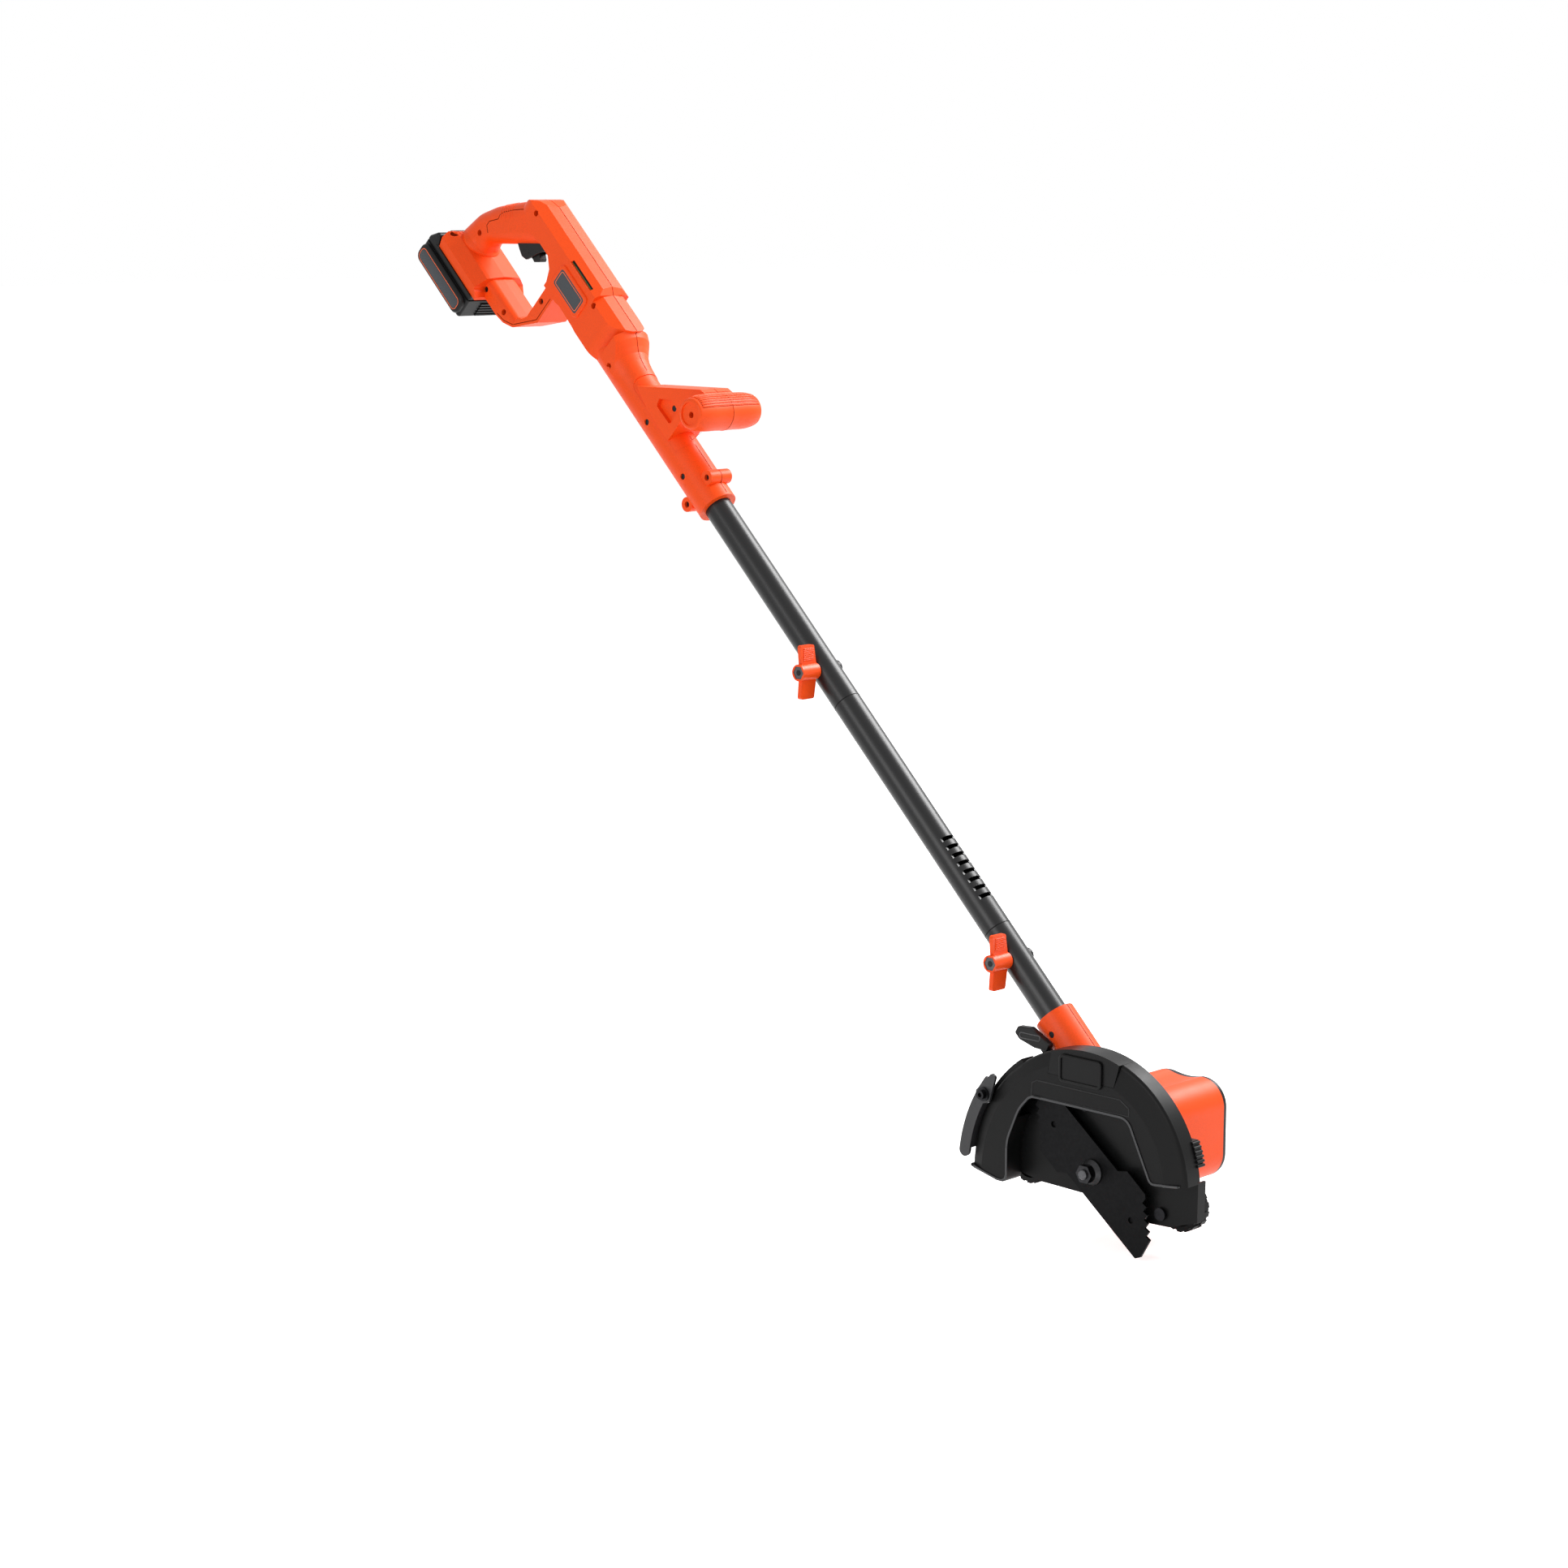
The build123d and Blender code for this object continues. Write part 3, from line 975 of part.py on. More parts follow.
def body_solid(inset):
    """The hood and its lower step, whose end is rounded in plan."""
    outline = Polygon(*BODY, align=None)
    if inset:
        outline = offset(outline, -inset, kind=Kind.INTERSECTION)
    side = shaft_thick(outline, BODY_HALF)
    half = BODY_HALF - inset
    plan = Pos(STEP_END, 0) * Circle(half) + Pos(STEP_END + 50, 0) * Rectangle(100, 2 * half)
    plane = Plane(origin=(0, -12, 0), x_dir=(1, 0, 0), z_dir=(0, 1, 0))
    step = extrude(plane * plan, amount=12 + 41.5 - inset, dir=(0, 1, 0))
    upper = run_section(hood_limits(inset), 1129 + inset, 1300)
    end_plan = Polygon((1050, -half), (1286, -half), (1286, half), (1050, half), align=None)
    end_plan = fillet(corners(end_plan, (1286, -half), (1286, half)), HOOD_END_ROUND)
    upper &= extrude(plane * end_plan, amount=100, dir=(0, 1, 0))
    lower = run_section(Pos(-HOOD_STEP, 0) * hood_limits(inset), 1060, 1140)
    return side & (upper + (lower & step))


def neck_solid():
    """The sleeve, flaring into the body."""
    profile = Polygon((1015, 0), (1015, SLEEVE_R), (1031, SLEEVE_R + 0.8), (1043, SLEEVE_R + 1.7),
                      (1051, SLEEVE_R + 2.9), (1059, SLEEVE_R + 5.6), (1065, SLEEVE_R + 9.6),
                      (1072, SLEEVE_R + 15), (1080, SLEEVE_R + 18), (1080, 0), align=None)
    flare = revolve(profile, axis=Axis.X)
    flare &= block(1000, 1100, -1, 60, -BODY_HALF, BODY_HALF)
    return flare + along(SLEEVE_R, SLEEVE_BOTTOM, SLEEVE_TOP)


def grip_solid(inset):
    outline = Polygon(*GRIP, align=None)
    outline = fillet(corners(outline, *GRIP[4:7]), 50.0)
    outline = fillet(corners(outline, GRIP[1]), 12.0)
    if inset:
        outline = offset(outline, -inset, kind=Kind.INTERSECTION)
        half = GRIP_HALF - inset - 3.5
        return shaft_thick(outline, half)
    grip = shaft_thick(outline, GRIP_HALF)
    # the edges inside the body and the battery housing stay sharp
    hidden = [(GRIP[k], GRIP[k + 1]) for k in (2, 8)] + [(GRIP[-1], GRIP[0])]
    middles = [((a[0] + b[0]) / 2, (a[1] + b[1]) / 2) for a, b in hidden]
    edges = [e for e in grip.faces().filter_by(Axis.Z).edges()
             if all(math.hypot(e.center().X - s, e.center().Y - n) > 4 for s, n in middles)]
    return fillet(edges, GRIP_ROUND)


def collar_solid():
    """The flared foot of the grip on the battery housing."""
    profile = Polygon((0, -78), (23, -78), (23, -72.5), (21.5, -70.5), (19.5, -68), (18, -63), (17, -56),
                      (0, -56), align=None)
    return Pos(COLLAR_PLACE, 0, 0) * revolve(profile, axis=Axis.Y)


def bar_solid(inset):
    outline = Polygon(*BAR, align=None)
    outline = fillet(corners(outline, *BAR[2:5]), 8.0)
    if inset:
        outline = offset(outline, -inset, kind=Kind.INTERSECTION)
    half = LOOP_HALF - inset
    bar = shaft_thick(outline, half)
    leg = run_section(loop_section(inset), 1205, 1300)
    lower = block(1100, 1205, -120, 20, -half, half)
    return bar & (leg + lower)


def bay_solid(inset):
    outline = Polygon(*BATTERY_BAY, align=None)
    section = bay_section(inset)
    if inset:
        outline = offset(outline, -inset, kind=Kind.INTERSECTION)
        floor = PACK_SEAT + RAIL_DEPTH + inset
        outline &= Polygon((1200, floor), (1400, floor), (1400, 0), (1200, 0), align=None)
    return shaft_thick(outline, HOUSING_HALF) & run_section(section, 1200, 1400)


def handle_outer():
    lugs = across(884, SLEEVE_R, LUG_R, -15, 15) + across(884, -SLEEVE_R, LUG_R, -15, 15)
    shaft_side = neck_solid() + body_solid(0) + bar_solid(0)
    return shaft_side + bay_solid(0) + collar_solid() + grip_solid(0) + lugs


def handle_inner():
    """The hollow inside the shells, as one space."""
    w = SHELL_WALL
    inner = body_solid(w) + bar_solid(w) + bay_solid(w) + grip_solid(w)
    half = GRIP_HALF - w - 3.5
    inner += block(1182, 1192, -40, 12, -half, half)
    inner += shaft_slab([(1232, 21), (1262, 21), (1272, 30), (1250, 33)], -half, half)
    inner += block(1306, 1334, -86, -62, -half, half)
    inner += block(1234, 1300, -88.6, -80, -half, half)
    inner += along(SLEEVE_R - w, TUBE_TOP + 60, SLEEVE_TOP - w)
    return inner


def make_handle():
    outer = handle_outer()
    inner = handle_inner()
    saddle_low, saddle_high, saddle_edge = SADDLE
    shell = outer - inner
    for s, n in SHELL_SCREWS:
        reach = HOUSING_HALF if n < -75 else BODY_HALF
        shell += across(s, n, BOSS_R, -reach, reach) & outer
    for s, n in BOARD_POSTS:
        shell += across(s, n, 2.5, -BODY_HALF, BOARD_Y) & outer
    # ribs that hold the switch, the trigger pin and the terminal block
    inner_end, outer_end = TRIGGER_HALF + GAP, GRIP_HALF - 2
    for low, high in ((-outer_end, -inner_end), (inner_end, outer_end)):
        shell += on_handle(rod(*TRIGGER_PIVOT, BOSS_R, SHAFT_Y + low, SHAFT_Y + high)) & outer
    for x in (SWITCH[0] + 5, SWITCH[1] - 5):
        for side in (-1, 1):
            low, high = sorted((SHAFT_Y + side * SWITCH_HALF, SHAFT_Y + side * (GRIP_HALF - 2)))
            shell += on_handle(block(x - 1, x + 1, low, high, SWITCH[2] - 3, SWITCH[3] + 1)) & outer
    shell -= on_handle(rod(*TRIGGER_PIVOT, PIN_R, SHAFT_Y - PIN_HALF, SHAFT_Y + PIN_HALF))
    shell -= on_handle(block(*TRIGGER_MOUTH))
    # tube bore, shoulder and cable way
    shell -= along(TUBE_R + FIT, SLEEVE_BOTTOM - 1, TUBE_TOP)
    shell -= along(TUBE_BORE_R - 0.5, TUBE_TOP, TUBE_TOP + 70)
    # battery rail channel, open at the upper end
    rail_top = PACK_SEAT + RAIL_DEPTH
    start = TERMINALS[0]
    shell -= block(start, 1400, rail_top - RAIL_HEAD - GAP, rail_top, -RAIL_HALF - GAP, RAIL_HALF + GAP)
    shell -= block(start, 1400, PACK_SEAT - 5, rail_top - RAIL_HEAD, -RAIL_STEM - GAP, RAIL_STEM + GAP)
    shell -= block(*TERMINALS)
    # saddle of the front handle
    shell -= saddle_space(0)
    # vent, badge pad and badge recess
    pad = shaft_slab(BADGE_PAD, -BODY_HALF - BADGE_RAISE, -BODY_HALF + 1, 6.0)
    shell += chamfer(pad.faces().sort_by(Axis.Z)[0].edges(), 0.9)
    shell -= shaft_slab(BADGE, -BODY_HALF - BADGE_RAISE - 1, -BODY_HALF - BADGE_RAISE + 1.0, 3.5)
    near = shell & block(800, 1500, -200, 100, -90, 0)
    far = shell & block(800, 1500, -200, 100, 0, 90)
    near -= block(*VENT, -BODY_HALF - 1, -BODY_HALF + SHELL_WALL + 3)
    screws = []
    for s, n in SHELL_SCREWS:
        face = screw_face(s, n)
        near -= across(s, n, SCREW_HEAD_R, face - 30, face + SCREW_SINK) + across(s, n, SCREW_R, -40, 1)
        far -= across(s, n, SCREW_R, -1, 12)
        top = face + SCREW_SINK
        screws.append(across(s, n, SCREW_R, top - 1, 11) + across(s, n, SCREW_HEAD_R - FIT, top - 2.4, top))
    for s in SLEEVE_SCREWS:
        seat = -TUBE_R - 2.5
        near -= across(s, 0, SCREW_HEAD_R, -SLEEVE_R - 1, seat) + across(s, 0, SCREW_R, seat - 1, 1)
        far -= across(s, 0, SCREW_R, -1, SLEEVE_R - 1.5)
        screws.append(across(s, 0, SCREW_R, seat - 1, SLEEVE_R - 2)
                      + across(s, 0, SCREW_HEAD_R - FIT, seat - 2.4, seat))
    for n in (-SLEEVE_R, SLEEVE_R):
        near -= across(884, n, SCREW_HEAD_R, -16, -9) + across(884, n, SCREW_R, -10, 1)
        far -= across(884, n, SCREW_R, -1, 12)
        screws.append(across(884, n, SCREW_R, -10, 11) + across(884, n, SCREW_HEAD_R - FIT, -11.4, -9))
    add("handle_shell_near", on_shaft(near))
    add("handle_shell_far", on_shaft(far))
    add("handle_screws", *[on_shaft(screw) for screw in screws])
    badge = shaft_slab(BADGE, -BODY_HALF - BADGE_RAISE, -BODY_HALF - BADGE_RAISE + 1.0, 3.5)
    add("handle_badge", on_shaft(badge))


def screw_face(s, n):
    """How far out the near shell reaches where a screw enters it."""
    if n < -75:
        return -LOOP_HALF if s < 1240 else -HOUSING_HALF + 10
    return -GRIP_HALF if s > 1300 else -BODY_HALF + (4 if n > 10 else 1)


def on_handle(body):
    """Bring a body made in object axes into the shaft's own frame."""
    return SHAFT.location.inverse() * body


# ---------------------------------------------------------------- trigger and what it works
def make_trigger():
    x, z = TRIGGER_PIVOT
    y0, y1 = SHAFT_Y - TRIGGER_HALF, SHAFT_Y + TRIGGER_HALF
    outline = Polygon((-868, 893), (-868, 881), (-866, 876), (-862, 868), (-855, 864.2), (-844, 867.6),
                      (-835, 871), (-822, 875), (-817.5, 881), (-817.5, 890), (-820, 893), align=None)
    low = [v for v in outline.vertices() if v.Y < 880 and v.X < -850]
    body = slab(fillet(low, 2.5), y0, y1)
    body = fillet([e for e in body.faces().filter_by(Axis.Y).edges() if e.center().Z < 890], 1.0)
    body -= block(-859, -829, SHAFT_Y - TAB_SLOT, SHAFT_Y + TAB_SLOT, 850, 884)
    body -= rod(x, z, PIN_R + FIT, y0 - 1, y1 + 1)
    body -= rod(*TAB_PIVOT, TAB_PIN_R + FIT, y0 - 1, y1 + 1)
    add("trigger", body)
    add("trigger_pin", rod(x, z, PIN_R, SHAFT_Y - PIN_HALF, SHAFT_Y + PIN_HALF))
    tab = Polygon((-853, 873), (-850.5, 876.5), (-846, 876.5), (-841, 873.5), (-836.6, 870.5), (-834.8, 864),
                  (-836.5, 861.6), (-845, 861.6), (-847.5, 865), (-852, 868.5), align=None)
    half = TAB_SLOT - 0.3
    tab = slab(fillet(tab.vertices(), 1.2), SHAFT_Y - half, SHAFT_Y + half)
    tab += rod(*TAB_PIVOT, TAB_PIN_R, y0 + 0.2, y1 - 0.2)
    add("lock_off_tab", tab)
    low, high = 893.0, SWITCH[2]
    wire = 0.5
    turns = 4.5
    height = high - low - 2 * wire - 0.1
    path = Pos(-860, SHAFT_Y, low + wire + 0.05) * Helix(pitch=height / turns, height=height, radius=3.0)
    add("trigger_spring", sweep(Plane(origin=path @ 0, z_dir=path % 0) * Circle(wire), path=path))


def make_switch():
    x0, x1, z0, z1 = SWITCH
    body = block(x0, x1, SHAFT_Y - SWITCH_HALF, SHAFT_Y + SWITCH_HALF, z0, z1)
    body = chamfer(body.edges().filter_by(Axis.Y), 0.8)
    for x in (x0 + 8, x1 - 8):
        body += block(x - 3, x + 3, SHAFT_Y - 0.4, SHAFT_Y + 0.4, z1, z1 + 3)
    add("switch_module", body)


def make_board():
    """The control board stands on posts behind the vent, with its terminal block at the lower end."""
    start, stop = BOARD_TERMINAL
    y0, y1 = BOARD_Y, BOARD_Y + BOARD_THICK
    outline = [(start, 4), (start, 24), (1134, 24), (1134, 39), (1194, 39), (1194, 14), (1182, 4)]
    board = shaft_slab(outline, y0, y1)
    parts_on_board = [block(start, stop, 4, 12, y1, -8), block(start, stop, CABLE_OFFSET - 4, 12, -8, 4)]
    parts_on_board.append(across(1180, 26, 6.0, y1, y1 + 16))
    parts_on_board.append(across(1163, 30, 5.0, y1, y1 + 12))
    parts_on_board.append(block(1140, 1154, 14, 34, y1, y1 + 9))
    parts_on_board.append(block(1164, 1174, 12, 20, y1, y1 + 3))
    for item in parts_on_board:
        board += item
    add("control_board", on_shaft(board))


def make_terminals():
    s0, s1, n0, n1, d0, d1 = TERMINALS
    body = block(s0, s1, n0, n1, d0, d1)
    top = PACK_SEAT + RAIL_DEPTH
    for d in BLADE_PLACES:
        body += block(s1 - 1, s1 + 12, top - RAIL_HEAD + 0.1, top - 0.4, d - 0.4, d + 0.4)
    add("battery_terminals", on_shaft(body))


def wire_tube(points, bend, r=WIRE_R):
    path = FilletPolyline(*points, radius=bend)
    return on_shaft(sweep(Plane(origin=path @ 0, z_dir=path % 0) * Circle(r), path=path))


def make_wiring():
    """Leads from the battery to the switch, and from the switch to the board."""
    switch_rear = on_handle(Pos(SWITCH[0], SHAFT_Y, (SWITCH[2] + SWITCH[3]) / 2)).position
    switch_front = on_handle(Pos(SWITCH[1], SHAFT_Y, (SWITCH[2] + SWITCH[3]) / 2)).position
    n_top = TERMINALS[3]
    rear, front = (switch_rear.X, switch_rear.Y), (switch_front.X, switch_front.Y)
    s_top = (TERMINALS[0] + TERMINALS[1]) / 2
    battery_lead = [(s_top, n_top, 0), (s_top, n_top + 5, 0), (1316, -78, 0), (1327, -62, 0), (1326, -42, 0),
                    (rear[0] + 6, rear[1] - 6, 0), (rear[0], rear[1], 0)]
    board_lead = [(front[0], front[1], 0), (front[0] - 8, front[1] + 8, 0), (1246, 25, 0), (1214, 27, -4),
                  (1202, 27, -8), (1186, 27, -8)]
    add("handle_wiring", wire_tube(battery_lead, 3.0), wire_tube(board_lead[:5], 3.0))


# ---------------------------------------------------------------- battery pack
PACK_TOP = 1359.0
PACK = ((PACK_BOTTOM, PACK_FLOOR), (1350, PACK_FLOOR), (PACK_TOP, -122), (PACK_TOP, -100), (1348.5, -83),
        (1341.5, PACK_SEAT), (PACK_BOTTOM, PACK_SEAT))


def pack_solid():
    outline = Polygon(*PACK, align=None)
    rounded = [v for v in outline.vertices() if v.Y < PACK_SEAT - 1 or v.Y > PACK_SEAT + 1]
    return shaft_thick(fillet(rounded, 4.0), PACK_HALF)


def make_pack():
    wall = PACK_WALL
    solid = pack_solid()
    sides = [e for e in solid.faces().filter_by(Axis.Z).edges() if e.center().Y < PACK_SEAT - 1]
    solid = fillet(sides, 3.0)
    groove = block(1240, 1400, PACK_SPLIT, PACK_SPLIT + 3, -60, 60)
    core = PACK_HALF - 1.2
    groove -= block(PACK_BOTTOM + 1.2, PACK_TOP - 1.2, PACK_SPLIT - 9, PACK_SPLIT + 9, -core, core)
    solid -= groove
    room_top = PACK_SEAT - wall
    end = PACK_BOTTOM + wall + 2 * CELL_R * CELLS + 1.5
    start = PACK_BOTTOM + wall
    room = shaft_slab([(start, PACK_FLOOR + wall), (1350.2, PACK_FLOOR + wall), (end, -123.1),
                       (end, room_top - 4), (1342, room_top), (start, room_top)],
                      -PACK_HALF + wall, PACK_HALF - wall)
    solid -= room
    top = PACK_SEAT + RAIL_DEPTH
    start = TERMINALS[1] + GAP
    rail = block(start, 1344, PACK_SEAT - 1, top - RAIL_HEAD, -RAIL_STEM, RAIL_STEM)
    rail += block(start, 1344, top - RAIL_HEAD, top - GAP, -RAIL_HALF, RAIL_HALF)
    for d in BLADE_PLACES:
        rail -= block(start - 1, start + 14, top - RAIL_HEAD - 1, top + 1, d - 0.9, d + 0.9)
    solid += rail
    # pocket for the latch button in the raised upper end
    pocket = block(LATCH_FLOOR, 1370, LATCH_N[0], LATCH_N[1], -LATCH_HALF - GAP, LATCH_HALF + GAP)
    solid -= pocket
    lower = solid & block(1200, 1400, -140, PACK_SPLIT, -60, 60)
    upper = solid & block(1200, 1400, PACK_SPLIT, -60, -60, 60)
    pad = Pos((PACK_BOTTOM + PACK_TOP) / 2, (PACK_FLOOR + PACK_SPLIT) / 2) * RectangleRounded(
        PACK_TOP - PACK_BOTTOM - 3, PACK_SPLIT - PACK_FLOOR - 2, 9.0)
    pads = shaft_thick(pad, PACK_HALF + PACK_PAD) - shaft_thick(pad, PACK_HALF - 1)
    rims = pads.faces().filter_by(Axis.Z)
    lower += fillet(rims.sort_by(Axis.Z)[0].edges() + rims.sort_by(Axis.Z)[-1].edges(), 3.5)
    for k in range(5):
        lower += block(PACK_BOTTOM - 1.6, PACK_BOTTOM + 1, -128 + 4 * k, -126 + 4 * k, -16, 16)
    add("pack_case_lower", on_shaft(lower))
    add("pack_case_upper", on_shaft(upper))
    cells = []
    for k in range(CELLS):
        s = PACK_BOTTOM + wall + CELL_R + FIT + k * (2 * CELL_R + 0.1)
        n = PACK_FLOOR + wall + CELL_R + FIT
        cell = across(s, n, CELL_R, -CELL_LENGTH / 2, CELL_LENGTH / 2 - 1)
        cells.append(on_shaft(cell + across(s, n, CELL_R * 0.35, CELL_LENGTH / 2 - 1, CELL_LENGTH / 2)))
    add("pack_cells", *cells)
    board_n = PACK_FLOOR + wall + 2 * CELL_R + 0.4
    board = block(PACK_BOTTOM + 6, 1346, board_n, board_n + 1.6, -PACK_HALF + wall + 4, PACK_HALF - wall - 4)
    board += block(PACK_BOTTOM + 10, PACK_BOTTOM + 22, board_n + 1, room_top, -14, 14)
    add("pack_board", on_shaft(board))
    button = shaft_slab([(LATCH_BACK, LATCH_N[0] + GAP), (1360.4, LATCH_N[0] + GAP), (1360.4, LATCH_N[0] + 6),
                         (1355.5, LATCH_N[1] - GAP), (LATCH_BACK, LATCH_N[1] - GAP)], -LATCH_HALF, LATCH_HALF)
    add("pack_latch_button", on_shaft(button))
    wire = 0.35
    height = LATCH_BACK - LATCH_FLOOR - 2 * wire - 0.1
    coil = Helix(pitch=height / 3, height=height, radius=2.4)
    coil_place = Pos(LATCH_FLOOR + wire + 0.05, (LATCH_N[0] + LATCH_N[1]) / 2, 0) * Rot(0, 90, 0)
    path = coil_place * coil
    spring = sweep(Plane(origin=path @ 0, z_dir=path % 0) * Circle(wire), path=path)
    add("pack_latch_spring", on_shaft(spring))


# ---------------------------------------------------------------- front handle
def bracket_outline():
    gx, gz = FRONT_GRIP
    return Polygon((-664, BRACKET_TOP), (gx - 10, BRACKET_TOP), (gx, BRACKET_TOP - 6), (gx, gz - 8),
                   (-590, 705), (-608.5, 684.5), (-623, 670), align=None)


def window_outline():
    window = Polygon((-633, 713), (-629, 721), (-610, 720), (-600, 709), (-613, 694), align=None)
    return fillet(window.vertices(), 3.0)


def saddle_space(shrink):
    """The part of the sleeve that the front handle's saddle fills."""
    low, high, edge = SADDLE
    side = Polygon((low + shrink, edge + shrink), (high - shrink, edge + shrink), (high - shrink, 120),
                   (low + shrink, 120), align=None)
    side = fillet(corners(side, (high - shrink, edge + shrink)), 11.0)
    return shaft_thick(side, 60)


def front_screw_reach(x):
    """How far the front handle reaches to each side at one of its screws."""
    in_grip = abs(x - FRONT_GRIP[0]) < FRONT_GRIP_R
    return FRONT_GRIP_HALF if in_grip else BRACKET_HALF


def make_front_handle():
    low, high, edge = SADDLE
    gx, gz = FRONT_GRIP
    saddle = along(SLEEVE_R, low, high) & saddle_space(0.15)
    bracket = slab(bracket_outline(), SHAFT_Y - BRACKET_HALF, SHAFT_Y + BRACKET_HALF)
    bracket = on_handle(bracket) & saddle_space(0.15)
    body = on_shaft(saddle + (bracket - along(SLEEVE_R - 1, low - 20, high + 20)))
    end_r = FRONT_GRIP_R - FRONT_GRIP_TAPER
    profile = Spline((FRONT_GRIP_R, 0), (FRONT_GRIP_R - 0.4, FRONT_GRIP_HALF * 0.5),
                     (FRONT_GRIP_R - 1.9, FRONT_GRIP_HALF * 0.85), (end_r, FRONT_GRIP_HALF))
    half = make_face(profile + Line(profile @ 1, (0, FRONT_GRIP_HALF)) + Line((0, FRONT_GRIP_HALF), (0, 0))
                     + Line((0, 0), profile @ 0))
    grip = revolve(half, axis=Axis.Y)
    grip = fillet(grip.faces().sort_by(Axis.Y)[-1].edges(), 3.5)
    grip += mirror(grip, about=Plane.XZ)
    grip = Pos(gx, SHAFT_Y, gz) * grip
    body += grip
    near_face = SHAFT_Y - BRACKET_HALF
    # hollow the bracket and the grip, leaving the saddle whole
    hollow = slab(offset(bracket_outline(), -BRACKET_WALL, kind=Kind.INTERSECTION),
                  SHAFT_Y - BRACKET_HALF + BRACKET_WALL, SHAFT_Y + BRACKET_HALF - BRACKET_WALL)
    hollow -= on_shaft(along(SLEEVE_R + 1, low - 40, high + 40))
    hollow += rod(gx, gz, FRONT_GRIP_R - 7.5, SHAFT_Y - FRONT_GRIP_HALF + 4, SHAFT_Y + FRONT_GRIP_HALF - 4)
    hollow -= slab(offset(window_outline(), 2.5), near_face, near_face + WINDOW_DEPTH + BRACKET_WALL)
    body -= hollow
    inside = on_shaft(along(TUBE_R + FIT, low - 1, high + 1))
    for x, z in FRONT_SCREWS:
        reach = front_screw_reach(x)
        body += rod(x, z, BOSS_R, SHAFT_Y - reach + 1, SHAFT_Y + reach - 1)
    body -= inside
    near = body & block(-900, -400, -50, SHAFT_Y, 500, 900)
    far = body & block(-900, -400, SHAFT_Y, 120, 500, 900)
    # window recess in the near face
    near -= slab(window_outline(), near_face - 1, near_face + WINDOW_DEPTH)
    dish = FRONT_GRIP_R - FRONT_GRIP_TAPER - 3.5
    near -= rod(gx, gz, dish, SHAFT_Y - FRONT_GRIP_HALF - 1, SHAFT_Y - FRONT_GRIP_HALF + FRONT_GRIP_DISH)
    screws = []
    for x, z in FRONT_SCREWS:
        face = SHAFT_Y - front_screw_reach(x)
        seat = near_face + 8
        near -= rod(x, z, SCREW_HEAD_R, face - 5, seat) + rod(x, z, SCREW_R, seat - 1, SHAFT_Y + 1)
        far -= rod(x, z, SCREW_R, SHAFT_Y - 1, SHAFT_Y + 12)
        head = rod(x, z, SCREW_HEAD_R - FIT, seat - 2.4, seat)
        screws.append(rod(x, z, SCREW_R, seat - 1, SHAFT_Y + 11) + head)
    add("front_handle_near", near)
    add("front_handle_far", far)
    add("front_handle_screws", *screws)


if __name__ == "__main__":
    make_tubes()
    make_couplers()
    make_clamps()
    add("power_cable", cable(CABLE_R))
    make_blade()
    make_spindle()
    make_motor()
    make_bearings()
    make_head()
    make_guard()
    make_wheels()
    make_carriage()
    make_lever()
    make_flap()
    make_handle()
    make_trigger()
    make_switch()
    make_board()
    make_terminals()
    make_wiring()
    make_pack()
    make_front_handle()
    os.makedirs("parts", exist_ok=True)
    for node, shape in parts.items():
        export_step(shape, f"parts/{node}.step")
    print(len(parts), "nodes")
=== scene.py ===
"""Looks for the cordless lawn edger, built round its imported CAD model. Everything is in metres."""
import math

import bmesh
import bpy
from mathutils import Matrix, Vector
from mathutils.bvhtree import BVHTree


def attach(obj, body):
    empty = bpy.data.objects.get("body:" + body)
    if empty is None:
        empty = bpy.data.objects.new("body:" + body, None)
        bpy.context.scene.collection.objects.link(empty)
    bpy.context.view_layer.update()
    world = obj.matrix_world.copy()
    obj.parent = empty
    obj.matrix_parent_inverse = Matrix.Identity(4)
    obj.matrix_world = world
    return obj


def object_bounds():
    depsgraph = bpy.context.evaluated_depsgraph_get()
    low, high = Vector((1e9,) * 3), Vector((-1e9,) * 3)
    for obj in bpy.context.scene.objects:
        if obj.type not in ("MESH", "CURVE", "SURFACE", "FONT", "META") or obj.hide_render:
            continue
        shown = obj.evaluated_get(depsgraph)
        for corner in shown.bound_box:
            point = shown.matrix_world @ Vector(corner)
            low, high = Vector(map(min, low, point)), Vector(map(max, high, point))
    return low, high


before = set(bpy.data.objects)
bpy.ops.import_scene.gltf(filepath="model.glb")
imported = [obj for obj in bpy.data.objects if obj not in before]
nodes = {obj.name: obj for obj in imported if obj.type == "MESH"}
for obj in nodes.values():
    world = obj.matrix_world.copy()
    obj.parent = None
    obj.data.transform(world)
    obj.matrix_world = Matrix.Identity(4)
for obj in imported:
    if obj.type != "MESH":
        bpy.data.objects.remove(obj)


def plain(bounds):
    """The box as plain lists."""
    return [[float(v) for v in corner] for corner in bounds]


cad_box = plain(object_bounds())
scene = bpy.context.scene
scene.view_settings.view_transform = "Standard"

# ---------------------------------------------------------------- the shaft's own frame
MM = 0.001
C45 = math.sqrt(0.5)           # the shaft stands at 45 degrees
FOOT_X = 47.4                  # where its axis meets Z = 0
SHAFT_Y = 42.6


def shaft_point(s, n, d=0.0):
    """A place given up the shaft, out from it and sideways from its plane, in millimetres."""
    return Vector((FOOT_X - C45 * (s - n), SHAFT_Y + d, C45 * (s + n))) * MM


# ---------------------------------------------------------------- materials
def material(name, colour, rough, metal=0.0, specular=0.5):
    m = bpy.data.materials.new(name)
    m.use_nodes = True
    shader = m.node_tree.nodes["Principled BSDF"]
    shader.inputs["Base Color"].default_value = (*colour, 1)
    shader.inputs["Roughness"].default_value = rough
    shader.inputs["Metallic"].default_value = metal
    shader.inputs["Specular IOR Level"].default_value = specular
    m.diffuse_color = (*colour, 1)
    return m


